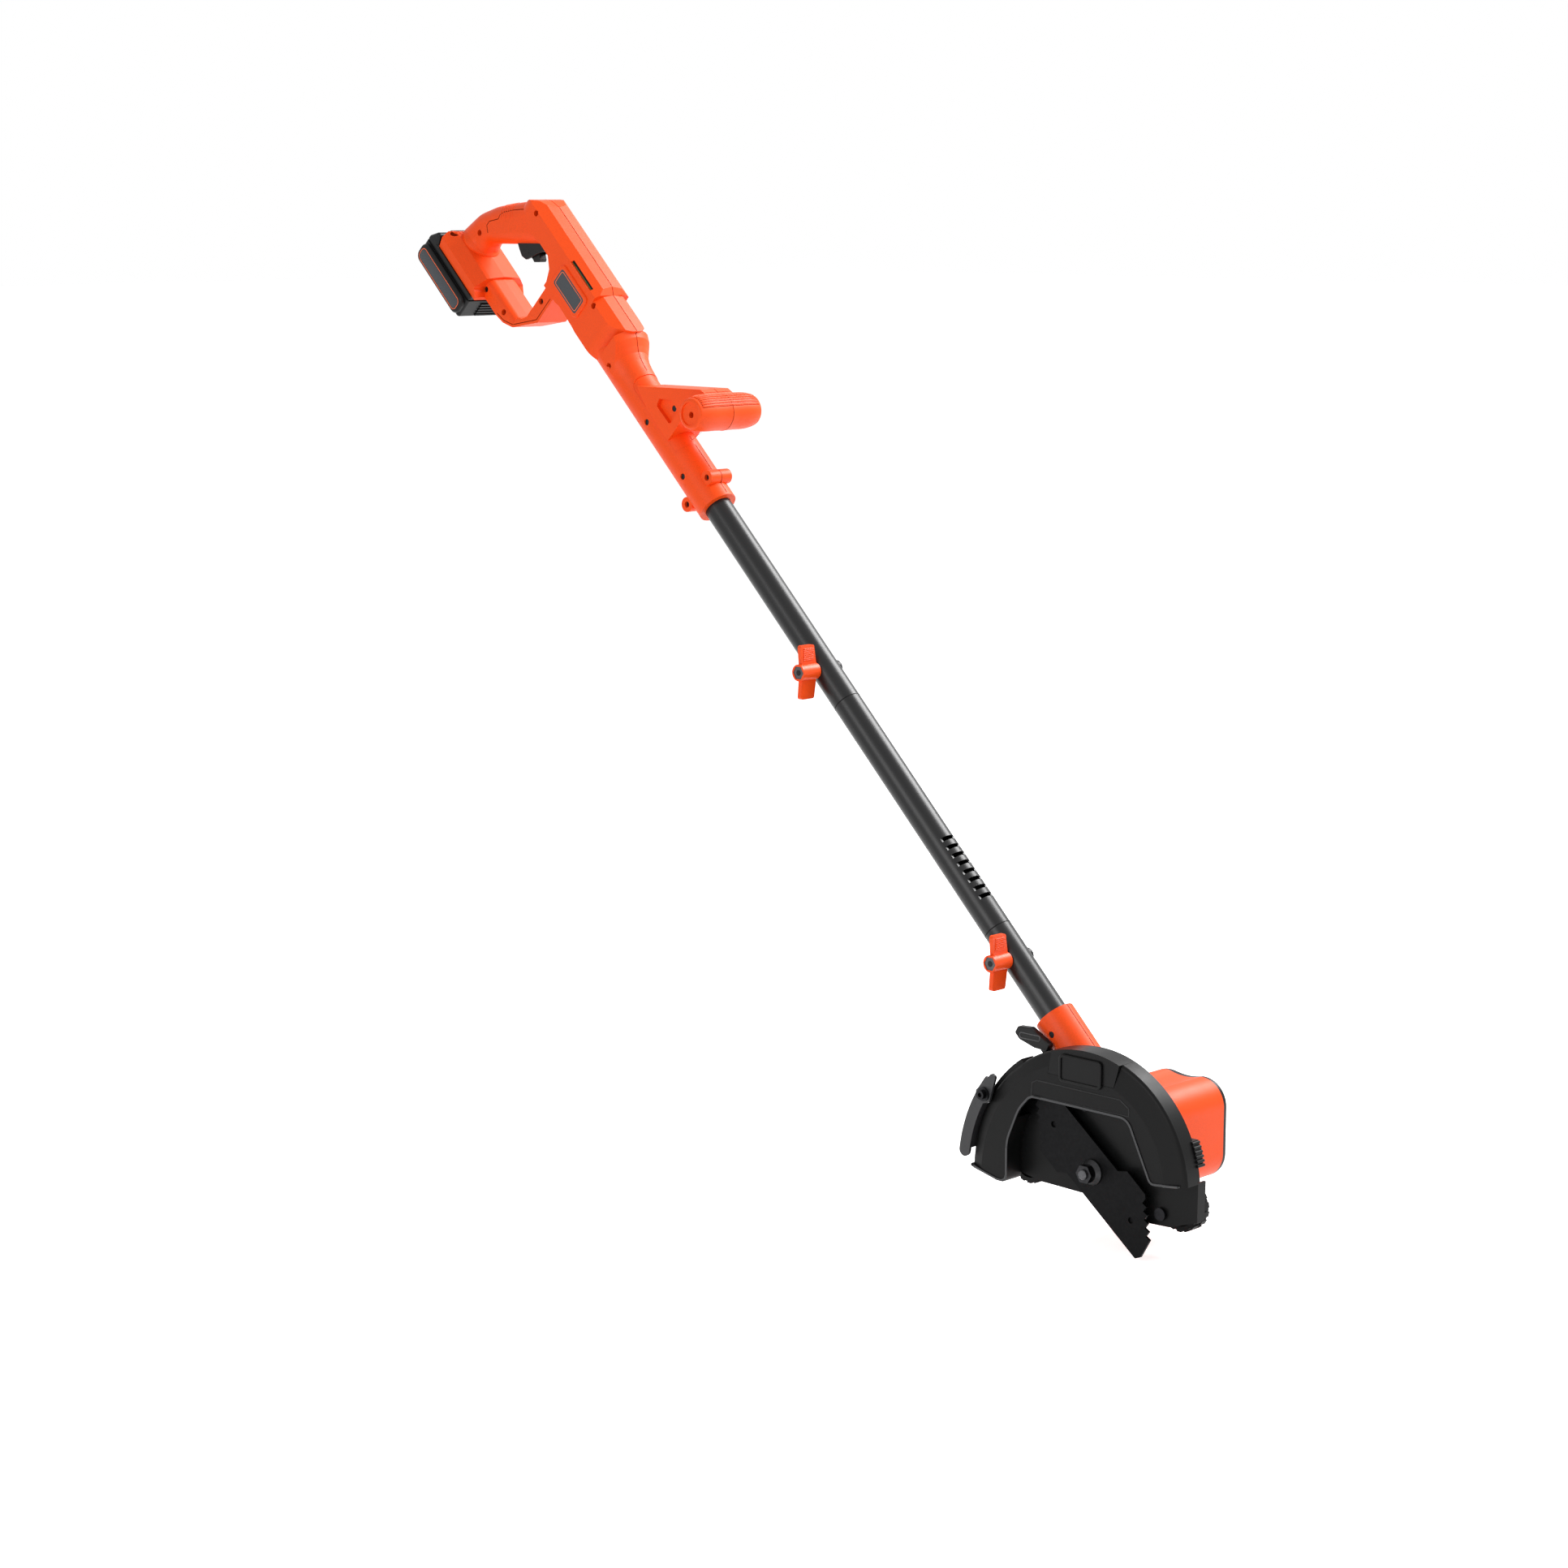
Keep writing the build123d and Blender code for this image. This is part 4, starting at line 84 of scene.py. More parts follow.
def noise(m, scale, detail=3.0, stretch=None):
    """A noise texture in the object's own coordinates, in metres."""
    tree = m.node_tree
    place = tree.nodes.new("ShaderNodeTexCoord")
    out = tree.nodes.new("ShaderNodeTexNoise")
    out.inputs["Scale"].default_value = scale
    out.inputs["Detail"].default_value = detail
    if stretch:
        turn = tree.nodes.new("ShaderNodeMapping")
        turn.inputs["Rotation"].default_value = stretch[0]
        turn.inputs["Scale"].default_value = stretch[1]
        tree.links.new(place.outputs["Object"], turn.inputs["Vector"])
        tree.links.new(turn.outputs["Vector"], out.inputs["Vector"])
    else:
        tree.links.new(place.outputs["Object"], out.inputs["Vector"])
    return out.outputs["Fac"]


def mix_colour(m, fac, low, high, spread=(0.3, 0.7)):
    """The base colour, between two colours by a texture."""
    ramp = m.node_tree.nodes.new("ShaderNodeValToRGB")
    ramp.color_ramp.elements[0].position, ramp.color_ramp.elements[1].position = spread
    ramp.color_ramp.elements[0].color = (*low, 1)
    ramp.color_ramp.elements[1].color = (*high, 1)
    m.node_tree.links.new(fac, ramp.inputs["Fac"])
    m.node_tree.links.new(ramp.outputs["Color"], m.node_tree.nodes["Principled BSDF"].inputs["Base Color"])


def vary_rough(m, fac, low, high):
    """The roughness, between two values by a texture."""
    span = m.node_tree.nodes.new("ShaderNodeMapRange")
    span.inputs["To Min"].default_value = low
    span.inputs["To Max"].default_value = high
    m.node_tree.links.new(fac, span.inputs["Value"])
    m.node_tree.links.new(span.outputs["Result"], m.node_tree.nodes["Principled BSDF"].inputs["Roughness"])


def grain(m, scale, height, strength=0.5):
    """Fine moulded or cast grain, as a bump."""
    bump = m.node_tree.nodes.new("ShaderNodeBump")
    bump.inputs["Strength"].default_value = strength
    bump.inputs["Distance"].default_value = height
    m.node_tree.links.new(noise(m, scale, 2.0), bump.inputs["Height"])
    m.node_tree.links.new(bump.outputs["Normal"], m.node_tree.nodes["Principled BSDF"].inputs["Normal"])


def scaled(colour, k):
    return tuple(c * k for c in colour)


MOTTLE = 0.08                  # share by which a plastic's colour goes darker and lighter


def plastic(name, colour, rough=0.45, specular=0.4, scale=2600.0, height=0.00006, strength=0.35):
    m = material(name, colour, rough, specular=specular)
    mix_colour(m, noise(m, 900.0, 4.0), scaled(colour, 1 - MOTTLE), scaled(colour, 1 + MOTTLE))
    vary_rough(m, noise(m, 60.0, 3.0), rough - 0.05, rough + 0.06)
    grain(m, scale, height, strength)
    return m


def metal(name, colour, rough=0.35, scale=1800.0, height=0.00003, strength=0.25, stretch=None):
    m = material(name, colour, rough, metal=1.0)
    mix_colour(m, noise(m, 300.0, 5.0, stretch), scaled(colour, 0.85), scaled(colour, 1.12))
    vary_rough(m, noise(m, 90.0, 3.0), rough - 0.06, rough + 0.08)
    grain(m, scale, height, strength)
    return m


def lighten_front(m, limit, colour):
    """A lighter colour on what stands in front of a plane across Y, in metres; used as a painted highlight.
    """
    tree = m.node_tree
    shader = tree.nodes["Principled BSDF"]
    old = shader.inputs["Base Color"].links[0].from_socket
    place = tree.nodes.new("ShaderNodeTexCoord")
    split = tree.nodes.new("ShaderNodeSeparateXYZ")
    tree.links.new(place.outputs["Object"], split.inputs["Vector"])
    ahead = tree.nodes.new("ShaderNodeMath")
    ahead.operation = "LESS_THAN"
    ahead.inputs[1].default_value = limit
    tree.links.new(split.outputs["Y"], ahead.inputs[0])
    mix = tree.nodes.new("ShaderNodeMixRGB")
    mix.inputs["Color2"].default_value = (*colour, 1)
    tree.links.new(ahead.outputs[0], mix.inputs["Fac"])
    tree.links.new(old, mix.inputs["Color1"])
    tree.links.new(mix.outputs["Color"], shader.inputs["Base Color"])


ORANGE = (0.93, 0.078, 0.005)
# Dark orange for the joints between parts, and painted shade in grooves and in the finger recess.
SEAM_AND_SHADE_ORANGE = (0.16, 0.012, 0.003)
NEAR_BLACK = (0.0070, 0.0070, 0.0073)
GUARD_BLACK = (0.0042, 0.0042, 0.0043)
BRIGHT_METAL = (0.55, 0.55, 0.57)
# Painted highlight: the light grey of the guard's raised lip.
LIP_HIGHLIGHT_GREY = (0.075, 0.075, 0.078)
LIP_PLANE = -0.01245           # the guard's raised lip stands in front of this Y, in metres
orange = plastic("orange_plastic", ORANGE, rough=0.44, specular=0.25, height=0.00008, strength=0.45)
orange_smooth = plastic("orange_smooth", scaled(ORANGE, 0.97), rough=0.38, specular=0.3,
                        height=0.00002, strength=0.15)
ring_orange = plastic("ring_orange", (0.95, 0.16, 0.05), rough=0.4, height=0.00002, strength=0.1)
seam_and_shade_orange = plastic("seam_and_shade_orange", SEAM_AND_SHADE_ORANGE, rough=0.9, specular=0.0)
# Dark orange painted between the front grip's ribs as the shade in its grooves.
groove_shade_orange = plastic("groove_shade_orange", (0.34, 0.022, 0.002), rough=0.9, specular=0.0)
edge_black = plastic("edge_black", (0.014, 0.014, 0.0145), rough=0.4, specular=0.2)
# Near black for the tube joints, and painted shade behind the vent slot.
seam_and_shade_black = plastic("seam_and_shade_black", (0.002, 0.002, 0.002), rough=0.6, specular=0.15)
black = plastic("black_plastic", NEAR_BLACK, rough=0.36, specular=0.2)
guard_black = plastic("guard_black", GUARD_BLACK, rough=0.40, specular=0.13, scale=1800.0, height=0.00008)
pad_black = plastic("pad_black", (0.0055, 0.0055, 0.0057), rough=0.34, specular=0.14,
                    scale=1800.0, height=0.00003)
wheel_black = plastic("wheel_black", (0.007, 0.007, 0.0072), rough=0.55, specular=0.15,
                      scale=1500.0, height=0.0001)
flap_grey = plastic("flap_grey", (0.022, 0.022, 0.024), rough=0.42)
# Light grey painted on raised edges as a highlight.
highlight_grey = plastic("highlight_grey", (0.065, 0.065, 0.068), rough=0.42)
inlay_grey = plastic("inlay_grey", (0.040, 0.045, 0.052), rough=0.38)
fan_plastic = plastic("fan_plastic", (0.16, 0.16, 0.17), rough=0.4)
board_green = plastic("board_green", (0.02, 0.16, 0.06), rough=0.3)
cell_wrap = plastic("cell_wrap", (0.05, 0.22, 0.4), rough=0.3)
rubber = plastic("cable_rubber", (0.015, 0.015, 0.015), rough=0.6, specular=0.3)
tube_paint = material("shaft_paint", (0.022, 0.022, 0.023), 0.36, metal=0.3, specular=0.4)
mix_colour(tube_paint, noise(tube_paint, 1400.0, 3.0), (0.010, 0.010, 0.0105), (0.015, 0.015, 0.0155))
vary_rough(tube_paint, noise(tube_paint, 40.0), 0.30, 0.38)
grain(tube_paint, 2600.0, 0.00003, 0.2)
aluminium = metal("cast_aluminium", BRIGHT_METAL, 0.45, scale=900.0, height=0.0001)
bright_steel = metal("bright_steel", BRIGHT_METAL, 0.25)
dark_steel = metal("dark_steel", (0.09, 0.09, 0.095), 0.4)
# Near-black steel for screws down in their holes, painted as the shade in the holes.
screw_shade_steel = metal("screw_steel_painted_shade", (0.03, 0.03, 0.032), 0.5)
washer_steel = metal("washer_steel", (0.045, 0.045, 0.047), 0.38)
blade_steel = metal("blade_steel", (0.0105, 0.0105, 0.011), 0.5, scale=700.0, height=0.00005)
can_steel = metal("can_steel", (0.4, 0.4, 0.41), 0.35)
axle_steel = metal("axle_steel", (0.022, 0.022, 0.024), 0.4)
nut_steel = metal("nut_steel", (0.032, 0.032, 0.034), 0.36)
hood_black = plastic("guard_hood_black", GUARD_BLACK, rough=0.40, specular=0.13, scale=1800.0)
# The lip in front of LIP_PLANE is painted light grey as a highlight.
lighten_front(hood_black, LIP_PLANE, LIP_HIGHLIGHT_GREY)
magnet = metal("magnet", (0.08, 0.08, 0.08), 0.6)
copper = metal("copper_winding", (0.6, 0.25, 0.10), 0.35, stretch=((0, 0, 0), (1, 12, 1)))

LOOKS = {
    "tube_lower": tube_paint, "tube_middle": tube_paint, "tube_upper": tube_paint, "couplers": aluminium,
    "clamp_bolts": black, "knob_upper": orange_smooth, "knob_lower": orange_smooth,
    "knob_nut_upper": dark_steel, "knob_nut_lower": dark_steel, "power_cable": rubber,
    "blade": blade_steel, "spindle": dark_steel, "spindle_gear": dark_steel, "inner_flange": dark_steel,
    "outer_flange": washer_steel, "blade_nut": nut_steel, "bearings": bright_steel, "motor_can": can_steel,
    "motor_magnets": magnet, "motor_end_bell": black, "armature": copper, "motor_fan": fan_plastic,
    "motor_pinion": dark_steel, "rotor_shaft": bright_steel, "gearbox_plate": aluminium,
    "head_shell_near": orange, "head_shell_far": orange, "motor_cap": black, "head_screws": screw_shade_steel,
    "guard_hood": hood_black, "guard_badge_panel": pad_black, "guard_fasteners": axle_steel,
    "wheel_front": wheel_black, "wheel_rear": wheel_black, "rear_axle": dark_steel,
    "wheel_carriage": guard_black, "depth_lever": black, "rear_flap": flap_grey,
    "handle_shell_near": orange, "handle_shell_far": orange, "handle_badge": inlay_grey,
    "handle_screws": screw_shade_steel, "handle_wiring": rubber,
    "trigger": black, "trigger_pin": bright_steel, "trigger_spring": bright_steel,
    "lock_off_tab": black, "switch_module": black, "control_board": board_green, "battery_terminals": black,
    "pack_case_lower": black, "pack_case_upper": black, "pack_cells": cell_wrap, "pack_board": board_green,
    "pack_latch_button": black, "pack_latch_spring": bright_steel,
    "front_handle_near": orange, "front_handle_far": orange, "front_handle_screws": screw_shade_steel,
}
for name, look in LOOKS.items():
    mesh = nodes[name].data
    mesh.materials.clear()
    mesh.materials.append(look)


# ---------------------------------------------------------------- detail pieces
def skin(*names):
    """The surface of several nodes, for laying details on."""
    places, faces = [], []
    for name in names:
        mesh = nodes[name].data
        first = len(places)
        places += [v.co.copy() for v in mesh.vertices]
        faces += [[first + i for i in p.vertices] for p in mesh.polygons]
    return BVHTree.FromPolygons(places, faces)


def stepped(points, step, closed=False):
    """Places a short step apart along straight runs, in millimetres."""
    out = []
    ends = points[1:] + (points[:1] if closed else [])
    for a, b in zip(points, ends):
        a, b = Vector(a), Vector(b)
        count = max(1, round((b - a).length / step))
        out += [a.lerp(b, k / count) for k in range(count)]
    if not closed:
        out.append(Vector(points[-1]))
    return out


CORNER_STEPS = 6


def rounded(points, radius):
    """A closed outline with its corners rounded."""
    out = []
    count = len(points)
    for k in range(count):
        here = Vector(points[k])
        back = (Vector(points[k - 1]) - here).normalized()
        ahead = (Vector(points[(k + 1) % count]) - here).normalized()
        half = back.angle(ahead) / 2
        reach = radius / math.tan(half)
        middle = here + (back + ahead).normalized() * radius / math.sin(half)
        start = here + back * reach - middle
        end = here + ahead * reach - middle
        for i in range(CORNER_STEPS + 1):
            t = i / CORNER_STEPS
            out.append(middle + (start * (1 - t) + end * t).normalized() * radius)
    return [tuple(p) for p in out]


def oblong(a0, a1, b0, b1, radius):
    """A rectangle with rounded corners."""
    return rounded([(a0, b0), (a1, b0), (a1, b1), (a0, b1)], radius)


def laid(tree, places, way, reach=0.3):
    """Where rays in one direction through the places meet a surface, with the normals there."""
    rail = []
    way = Vector(way).normalized()
    for place in places:
        hit, normal, _, _ = tree.ray_cast(place - way * reach, way)
        if hit is not None:
            rail.append((hit, normal))
    return rail


def drawn_in(tree, places, centre):
    """Where rays from the places to one centre meet a surface, with the normals there."""
    rail = []
    for place in places:
        hit, normal, _, _ = tree.ray_cast(place, (centre - place).normalized())
        if hit is not None:
            rail.append((hit, normal))
    return rail


def finished(name, form, look, body):
    """The piece made of a form, on a body and with a material slot of the record."""
    bmesh.ops.recalc_face_normals(form, faces=form.faces)
    mesh = bpy.data.meshes.new(name)
    form.to_mesh(mesh)
    form.free()
    for face in mesh.polygons:
        face.use_smooth = True
    mesh.materials.append(look)
    piece = bpy.data.objects.new(name, mesh)
    scene.collection.objects.link(piece)
    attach(piece, body)


BEAD_SECTION = ((1, -1.2), (0.92, 0.35), (0.55, 0.85), (0, 1), (-0.55, 0.85), (-0.92, 0.35), (-1, -1.2))


def bead(name, rails, width, height, look, body="frame", closed=False):
    """Low rounded strips along rails of places and normals; sizes in millimetres."""
    form = bmesh.new()
    for rail in rails:
        count = len(rail)
        if count < 3:          # the rays found too little of the surface
            continue
        rings = []
        for k, (place, normal) in enumerate(rail):
            ahead = rail[(k + 1) % count][0] if closed or k < count - 1 else place
            behind = rail[k - 1][0] if closed or k else place
            side = (ahead - behind).cross(normal).normalized()
            rings.append([form.verts.new(place + (side * a * width / 2 + normal * b * height) * MM)
                          for a, b in BEAD_SECTION])
        pairs = zip(rings, rings[1:] + rings[:1]) if closed else zip(rings, rings[1:])
        for near, far in pairs:
            for i in range(len(BEAD_SECTION)):
                j = (i + 1) % len(BEAD_SECTION)
                form.faces.new((near[i], near[j], far[j], far[i]))
        if not closed:
            form.faces.new(rings[0])
            form.faces.new(list(reversed(rings[-1])))
    finished(name, form, look, body)


def plate(levels):
    """A closed form through outlines of as many places each, from its back to its face."""
    form = bmesh.new()
    rings = [[form.verts.new(place) for place in level] for level in levels]
    for low, high in zip(rings, rings[1:]):
        for i in range(len(low)):
            j = (i + 1) % len(low)
            form.faces.new((low[i], low[j], high[j], high[i]))
    form.faces.new(rings[0])
    form.faces.new(rings[-1])
    return form


def on_shaft(points, step=2.0):
    """An outline given up the shaft and out from it, in millimetres, as places in its plane."""
    return [shaft_point(p[0], p[1]) for p in stepped(points, step)]


def on_side(points, step=2.0, closed=False):
    """An outline given in X and Z, in millimetres, as places in the plane of the blade."""
    return [Vector((p[0], 0, p[1])) * MM for p in stepped(points, step, closed)]


NEAR = (0, -1, 0)
INWARD = (0, 1, 0)
handle_skin = skin("handle_shell_near", "handle_shell_far")
front_skin = skin("front_handle_near", "front_handle_far")
guard_skin = skin("guard_hood", "guard_badge_panel")
head_skin = skin("head_shell_near", "head_shell_far")

# The joint between the shell halves, along the top of the handle, its sleeve and the upper screw lug
TO_SHAFT = (-C45, 0, -C45)
OUTSIDE = 60                   # out from the shaft, in millimetres; rays start 300 further out
SEAM_WIDTH = 0.9
SEAM_HEIGHT = 0.10
HANDLE_SEAMS = ((862, 878), (890, 930), (1036, 1282))
BRACKET_SEAM = (932, 958)
LUG_CENTRE = (884, 21.5)
LUG_REACH = 30
seam_runs = []
for grown, spans in ((handle_skin, HANDLE_SEAMS), (front_skin, (BRACKET_SEAM,))):
    for low, high in spans:
        line = on_shaft([(low, OUTSIDE), (high, OUTSIDE)], 1.5)
        seam_runs.append(laid(grown, line, TO_SHAFT))
lug_arc = []
for degrees in range(20, 165, 8):
    a = math.radians(degrees)
    s, n = LUG_CENTRE[0] + LUG_REACH * math.cos(a), LUG_CENTRE[1] + LUG_REACH * math.sin(a)
    lug_arc.append(shaft_point(s, n))
seam_runs.append(drawn_in(handle_skin, lug_arc, shaft_point(*LUG_CENTRE)))
bead("handle_seam", seam_runs, SEAM_WIDTH, SEAM_HEIGHT, seam_and_shade_orange)

# Lower bar: a dark line as painted shade in a groove beside its outer edge, and as the joint along its inner
# side
bar_line = [(1232, -93.6), (1219, -91.2), (1205, -83.5), (1181.5, -51), (1181.5, -18)]
bead("bar_groove_shade_and_joint", [laid(handle_skin, on_shaft(bar_line), INWARD)], 0.9, 0.12, seam_and_shade_orange)

# Smooth panel on the side of the grip, with its border
patch = [(1307, -44), (1314, -39), (1314, -33), (1305, -20), (1306.5, -15), (1304.5, -9), (1294, 5),
         (1286, 14), (1279, 21)]
bead("grip_panel_border", [laid(handle_skin, on_shaft(patch, 1.5), INWARD)], 0.9, 0.14, seam_and_shade_orange)
edge = [(1277, 20.5), (1268, 18.5), (1259, 14.8), (1253, 12.2), (1244, 10.2)]
bead("grip_joint", [laid(handle_skin, on_shaft(edge, 1.5), INWARD)], 0.8, 0.14, seam_and_shade_orange)

# Short ribs round the top of the grip, each drawn in to a place inside it
GRIP_RIBS = 6
RIB_INSIDE = (-16, -11)        # from the rib's own place to the one inside the grip
ribs = []
for k in range(GRIP_RIBS):
    t = k / (GRIP_RIBS - 1)
    s = 1308.0 - 12.0 * t + RIB_INSIDE[0]
    n = -12.0 + 14.0 * t + RIB_INSIDE[1]
    arc = []
    for degrees in range(8, 62, 6):
        a = math.radians(degrees)
        arc.append(shaft_point(s + 36 * math.cos(a), n + 25 * math.cos(a), -44 * math.sin(a)))
    ribs.append(drawn_in(handle_skin, arc, shaft_point(s, n)))
bead("grip_ribs", ribs, 1.4, 0.5, orange)

# Badge: a ring round the bare inlay
BADGE = (1140.2, 1183.8, 5.2, 22.8)
BADGE_FACE = -27.02
BADGE_CORNER = 2.6
ring = []
for s, n in stepped(oblong(*BADGE, BADGE_CORNER), 1.5, True):
    ring.append((shaft_point(s, n, BADGE_FACE), Vector(NEAR)))
bead("badge_ring", [ring], 0.9, 0.22, ring_orange, closed=True)

# Front handle: fine ribs along its top, dark lines between them as painted shade in the grooves, and the
# joint round its middle
GRIP_X, GRIP_Z = -556.0, 709.0
GRIP_HALF = 42
GRIP_REACH = 0.06              # rays start this far outside, in metres
RIB_PITCH = 10                 # degrees round the grip
FIRST_RIB, FIRST_GROOVE = 28, 23
FRONT_RIBS = 8


def grip_run(degrees, widths):
    """A line on the front grip at one angle round it, at the given places along it."""
    a = math.radians(degrees)
    line = [Vector((GRIP_X, SHAFT_Y + y, GRIP_Z)) * MM for y in widths]
    return laid(front_skin, line, (-math.cos(a), 0, -math.sin(a)), GRIP_REACH)


whole = range(-GRIP_HALF, GRIP_HALF + 1, 3)
rib_runs = [grip_run(FIRST_RIB + RIB_PITCH * k, whole) for k in range(FRONT_RIBS)]
bead("front_grip_ribs", rib_runs, 1.7, 0.55, orange)
groove_runs = [grip_run(FIRST_GROOVE + RIB_PITCH * k, whole) for k in range(FRONT_RIBS + 1)]
bead("front_grip_groove_shade", groove_runs, 0.8, 0.06, groove_shade_orange)
ring_run = []
for degrees in range(-150, 120, 6):
    ring_run += grip_run(degrees, (0,))
bead("front_grip_seam", [ring_run], 0.8, 0.10, seam_and_shade_orange)

# Battery: a bare label strip with its ring, on both side pads
PAD_FACE = 43.0
STRIP = (1268, 1353, -127.0, -112.0)
STRIP_CORNER = 5.5
for side, tag in ((-1, "near"), (1, "far")):
    face = side * (PAD_FACE + 0.02)
    normal = Vector((0, side, 0))
    outline = stepped(oblong(*STRIP, STRIP_CORNER), 1.5, True)
    strip = [(shaft_point(s, n, face), normal) for s, n in outline]
    bead(f"pack_ring_{tag}", [strip], 0.9, 0.20, ring_orange, "battery", closed=True)
    levels = []
    for inset, lift in ((0.9, -0.3), (0.9, 0.12), (1.3, 0.2)):
        shape = oblong(STRIP[0] + inset, STRIP[1] - inset, STRIP[2] + inset, STRIP[3] - inset,
                       STRIP_CORNER - inset)
        levels.append([shaft_point(s, n, face + side * lift) for s, n in shape])
    finished(f"pack_label_{tag}", plate(levels), inlay_grey, "battery")

# Guard: the edge of a bare label place under the badge, and a light grey bead at both ends of its mouth, a
# painted highlight on the edge there
label = [(-68, 79), (-62, 82.5), (42, 82), (53, 75), (53, 67.5), (-69, 66)]
label_run = laid(guard_skin, on_side(label, 2.0, True), INWARD)
bead("guard_label_edge", [label_run], 1.4, 0.45, edge_black, closed=True)

leg = [(-142.5, -19.6), (-125, -24.4), (-113, -27.2), (-106, -27.2), (-101.6, -24.6), (-100.0, -20),
       (-100.0, 8)]
front_leg = [(96, 7.4), (106, 8.7), (114, 9.8)]
leg_runs = [laid(guard_skin, on_side(leg, 1.5), INWARD), laid(guard_skin, on_side(front_leg, 1.5), INWARD)]
bead("guard_leg_painted_highlight", leg_runs, 1.6, 0.5, highlight_grey)

# Tube joints and the collar's seam
TUBE_R = 15.0
TUBE_SIDES = 48
TUBE_JOINTS = (("lower", 296.0), ("upper", 591.0))
COLLAR = (100, 188.5)
for name, s in TUBE_JOINTS:
    centre = shaft_point(s, 0)
    circle = []
    for k in range(TUBE_SIDES):
        a = 2 * math.pi * k / TUBE_SIDES
        out = shaft_point(s, TUBE_R * math.cos(a), TUBE_R * math.sin(a)) - centre
        circle.append((centre + out, out.normalized()))
    bead(f"tube_joint_{name}", [circle], 1.1, 0.14, seam_and_shade_black, closed=True)
collar_line = on_shaft([(COLLAR[0], OUTSIDE), (COLLAR[1], OUTSIDE)], 1.5)
collar_run = laid(head_skin, collar_line, TO_SHAFT)
bead("collar_seam", [collar_run], SEAM_WIDTH, SEAM_HEIGHT, seam_and_shade_orange)

# Vent: the board's edge, and a near-black plate behind the slot as painted shade inside it
VENT = (1140.1, 1182.9)
VENT_DEPTHS = (-21.2, -22.0)
VENT_PLATES = (("vent_painted_shade", 38.5, 40.3, seam_and_shade_black), ("vent_board", 37.3, 38.5, board_green))
for name, n_low, n_high, look in VENT_PLATES:
    shape = oblong(*VENT, n_low, n_high, 0.4)
    levels = [[shaft_point(s, n, d) for s, n in shape] for d in VENT_DEPTHS]
    finished(name, plate(levels), look, "frame")

# Finger recess at the upper end of the battery housing: an oval lip, and a dark plate in the hollow as
# painted shade
RECESS_SIDES = 24
RECESS_LONG, RECESS_SHORT = 6.0, 3.6
RECESS_LIFT, RECESS_SINK = 0.18, 0.6
across_it = Vector((0.72, 0.69, 0)).normalized()
facing = Vector((-0.69, 0.70, -0.17)).normalized()
up_it = across_it.cross(facing).normalized()
centre = shaft_point(1343, -84.5, -18)
recess = []
for k in range(RECESS_SIDES):
    a = 2 * math.pi * k / RECESS_SIDES
    recess.append(centre + (across_it * RECESS_LONG * math.cos(a) - up_it * RECESS_SHORT * math.sin(a)) * MM)
rim = laid(handle_skin, recess, facing)
if len(rim) == RECESS_SIDES:
    bead("finger_recess_edge", [rim], 1.3, 0.35, orange, closed=True)
    # The dark plate is painted shade filling the hollow.
    form = bmesh.new()
    middle, normal = laid(handle_skin, [centre], facing)[0]
    face_ring = [form.verts.new(place + n * RECESS_LIFT * MM) for place, n in rim]
    back_ring = [form.verts.new(place - n * RECESS_SINK * MM) for place, n in rim]
    top = form.verts.new(middle + normal * RECESS_LIFT * MM)
    low = form.verts.new(middle - normal * RECESS_SINK * MM)
    for i in range(RECESS_SIDES):
        j = (i + 1) % RECESS_SIDES
        form.faces.new((face_ring[i], face_ring[j], top))
        form.faces.new((back_ring[j], back_ring[i], low))
        form.faces.new((face_ring[j], face_ring[i], back_ring[i], back_ring[j]))
    finished("finger_recess_painted_shade", form, seam_and_shade_orange, "frame")

# Depth lever: a border round its paddle
lever_skin = skin("depth_lever")
paddle_run = laid(lever_skin, on_side(oblong(-106, -80, 113.6, 119.0, 2.2), 1.2, True), INWARD)
bead("paddle_border", [paddle_run], 1.2, 0.35, highlight_grey, "lever", closed=True)


# ---------------------------------------------------------------- light, floor and camera
def seen_directly(tree):
    """One for camera, glossy and transmission rays, and nothing for the rest."""
    rays = tree.nodes.new("ShaderNodeLightPath")
    total = rays.outputs["Is Camera Ray"]
    for kind in ("Is Glossy Ray", "Is Transmission Ray"):
        most = tree.nodes.new("ShaderNodeMath")
        most.operation = "MAXIMUM"
        tree.links.new(total, most.inputs[0])
        tree.links.new(rays.outputs[kind], most.inputs[1])
        total = most.outputs[0]
    return total


def spread_over(tree, fac, low, high):
    """One value where a factor is nothing, another where it is one."""
    span = tree.nodes.new("ShaderNodeMapRange")
    span.inputs["To Min"].default_value = low
    span.inputs["To Max"].default_value = high
    tree.links.new(fac, span.inputs["Value"])
    return span.outputs["Result"]


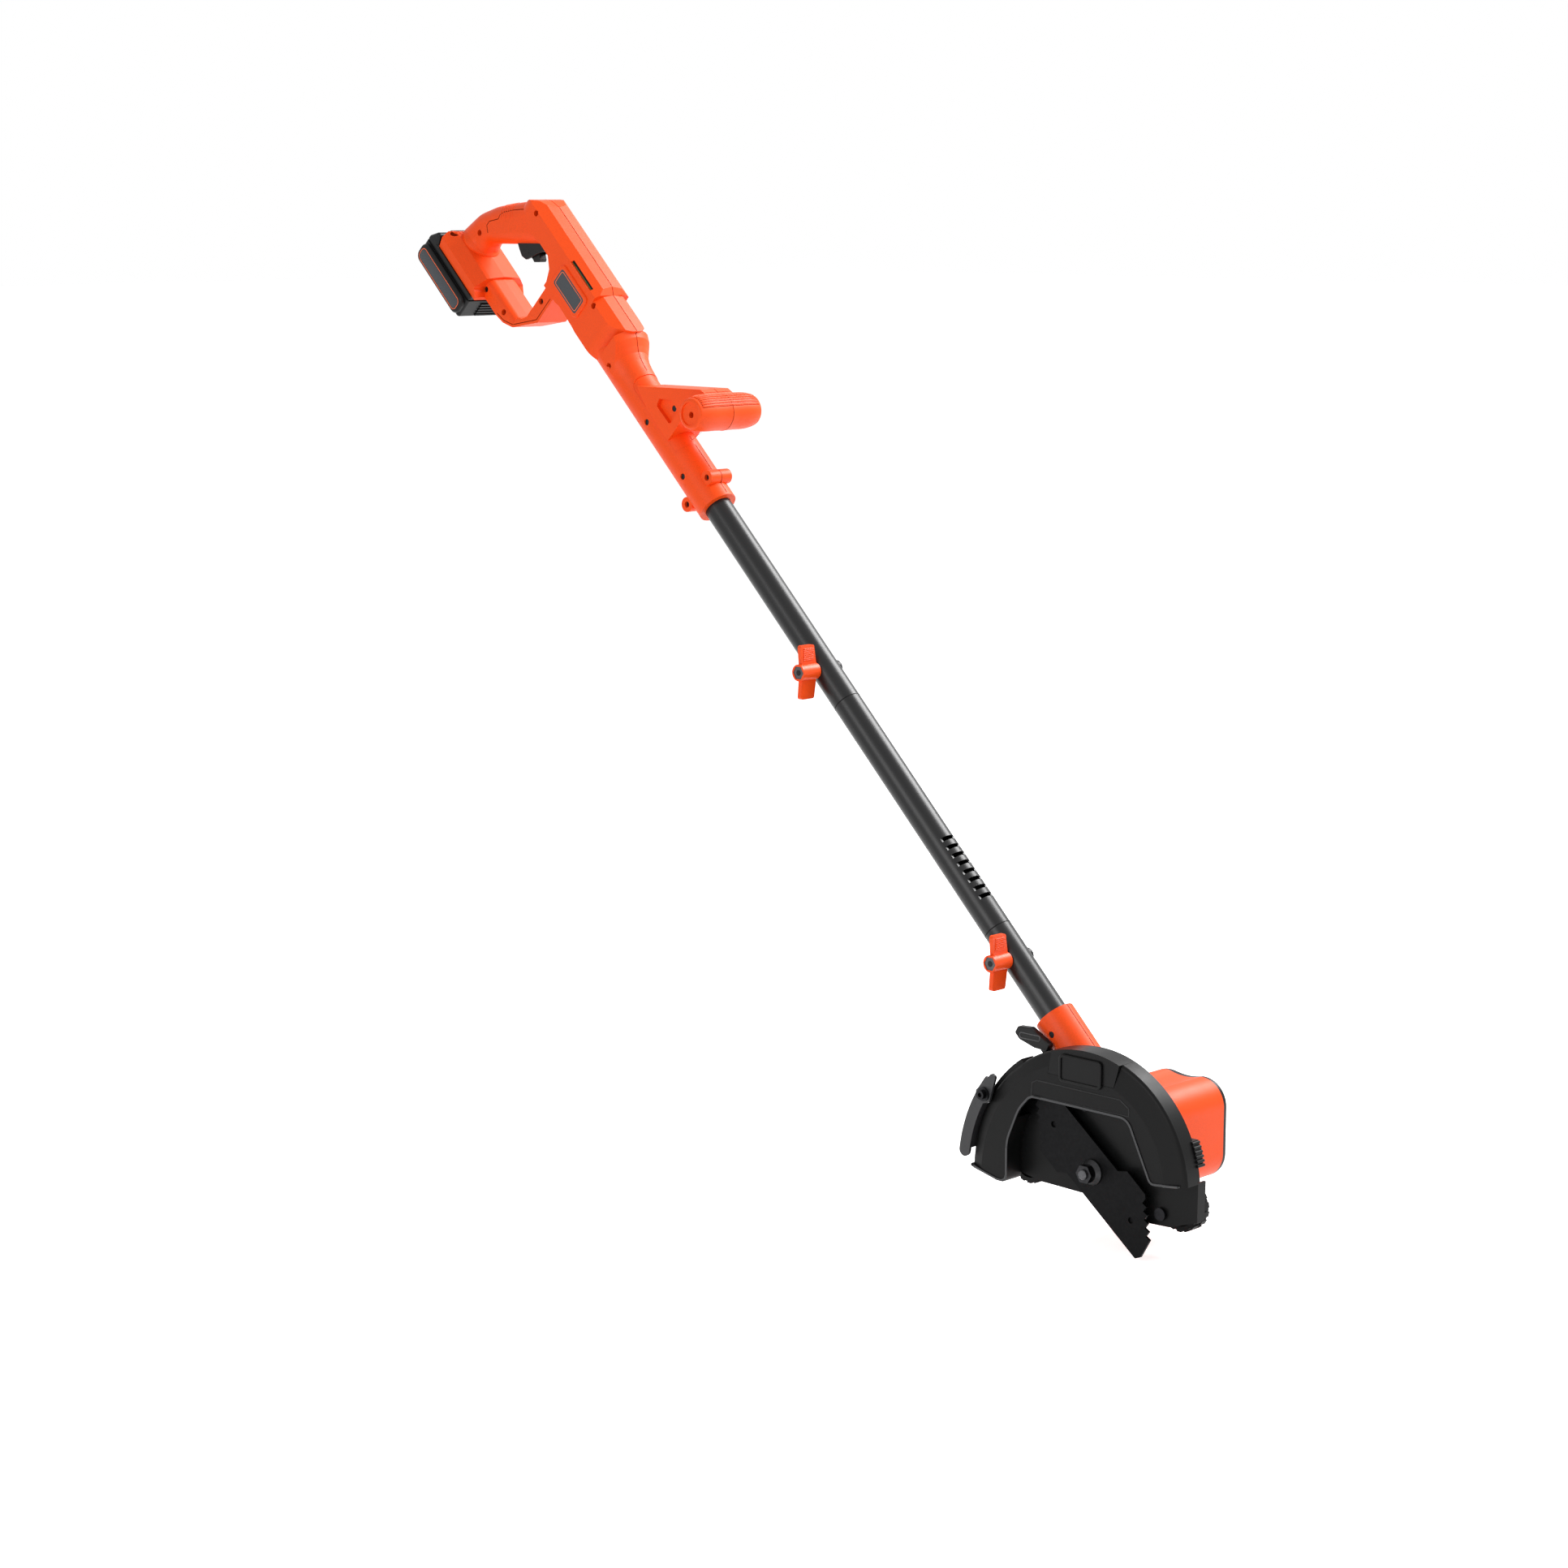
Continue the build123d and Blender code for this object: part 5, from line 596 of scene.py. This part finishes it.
ROOM_LIGHT = 0.40              # the room's strength for the rest; the rays above see it at 1
FLOOR_LIFT = 0.70              # the floor's glow, for the rays above only
FLOOR_HALF = 30.0
FLOOR_DROP = 0.002
world = bpy.data.worlds.new("studio")
scene.world = world
world.use_nodes = True
tree = world.node_tree
background = tree.nodes["Background"]
background.inputs["Color"].default_value = (1, 1, 1, 1)
tree.links.new(spread_over(tree, seen_directly(tree), ROOM_LIGHT, 1.0), background.inputs["Strength"])

floor_mesh = bpy.data.meshes.new("floor")
form = bmesh.new()
bmesh.ops.create_grid(form, x_segments=1, y_segments=1, size=FLOOR_HALF)
form.to_mesh(floor_mesh)
form.free()
floor = bpy.data.objects.new("floor", floor_mesh)
floor.location = (0, 0, cad_box[0][2] - FLOOR_DROP)
scene.collection.objects.link(floor)
floor_look = material("floor_white", (0.80, 0.80, 0.80), 0.9, specular=0.1)
shader = floor_look.node_tree.nodes["Principled BSDF"]
shader.inputs["Emission Color"].default_value = (1, 1, 1, 1)
tree = floor_look.node_tree
tree.links.new(spread_over(tree, seen_directly(tree), 0.0, FLOOR_LIFT), shader.inputs["Emission Strength"])
floor.data.materials.append(floor_look)


def area_light(name, place, target, size, power):
    """A soft rectangular lamp aimed at a place; power in watts."""
    lamp = bpy.data.lights.new(name, "AREA")
    lamp.shape = "RECTANGLE"
    lamp.size, lamp.size_y = size
    lamp.energy = power
    holder = bpy.data.objects.new(name, lamp)
    holder.location = place
    aim = Vector(target) - Vector(place)
    holder.rotation_euler = aim.to_track_quat("-Z", "Y").to_euler()
    scene.collection.objects.link(holder)


area_light("key", (0.2, 2.0, 2.5), (-0.45, 0, 0.5), (1.7, 1.5), 140)
area_light("right", (2.2, 0.6, 1.9), (-0.3, 0, 0.4), (1.2, 1.2), 14)
area_light("front", (-0.2, -3.0, 1.4), (-0.4, 0, 0.4), (1.8, 1.4), 33)

LENS = 79.87
SENSOR = 36.0
EYE = (2.0769, -2.5416, 0.9409)
SIGHT = (-0.6909, 0.7031, -0.1685)
camera_data = bpy.data.cameras.new("camera")
camera_data.lens = LENS
camera_data.sensor_width = SENSOR
camera = bpy.data.objects.new("camera", camera_data)
camera.location = EYE
camera.rotation_euler = Vector(SIGHT).to_track_quat("-Z", "Y").to_euler()
scene.collection.objects.link(camera)
scene.camera = camera
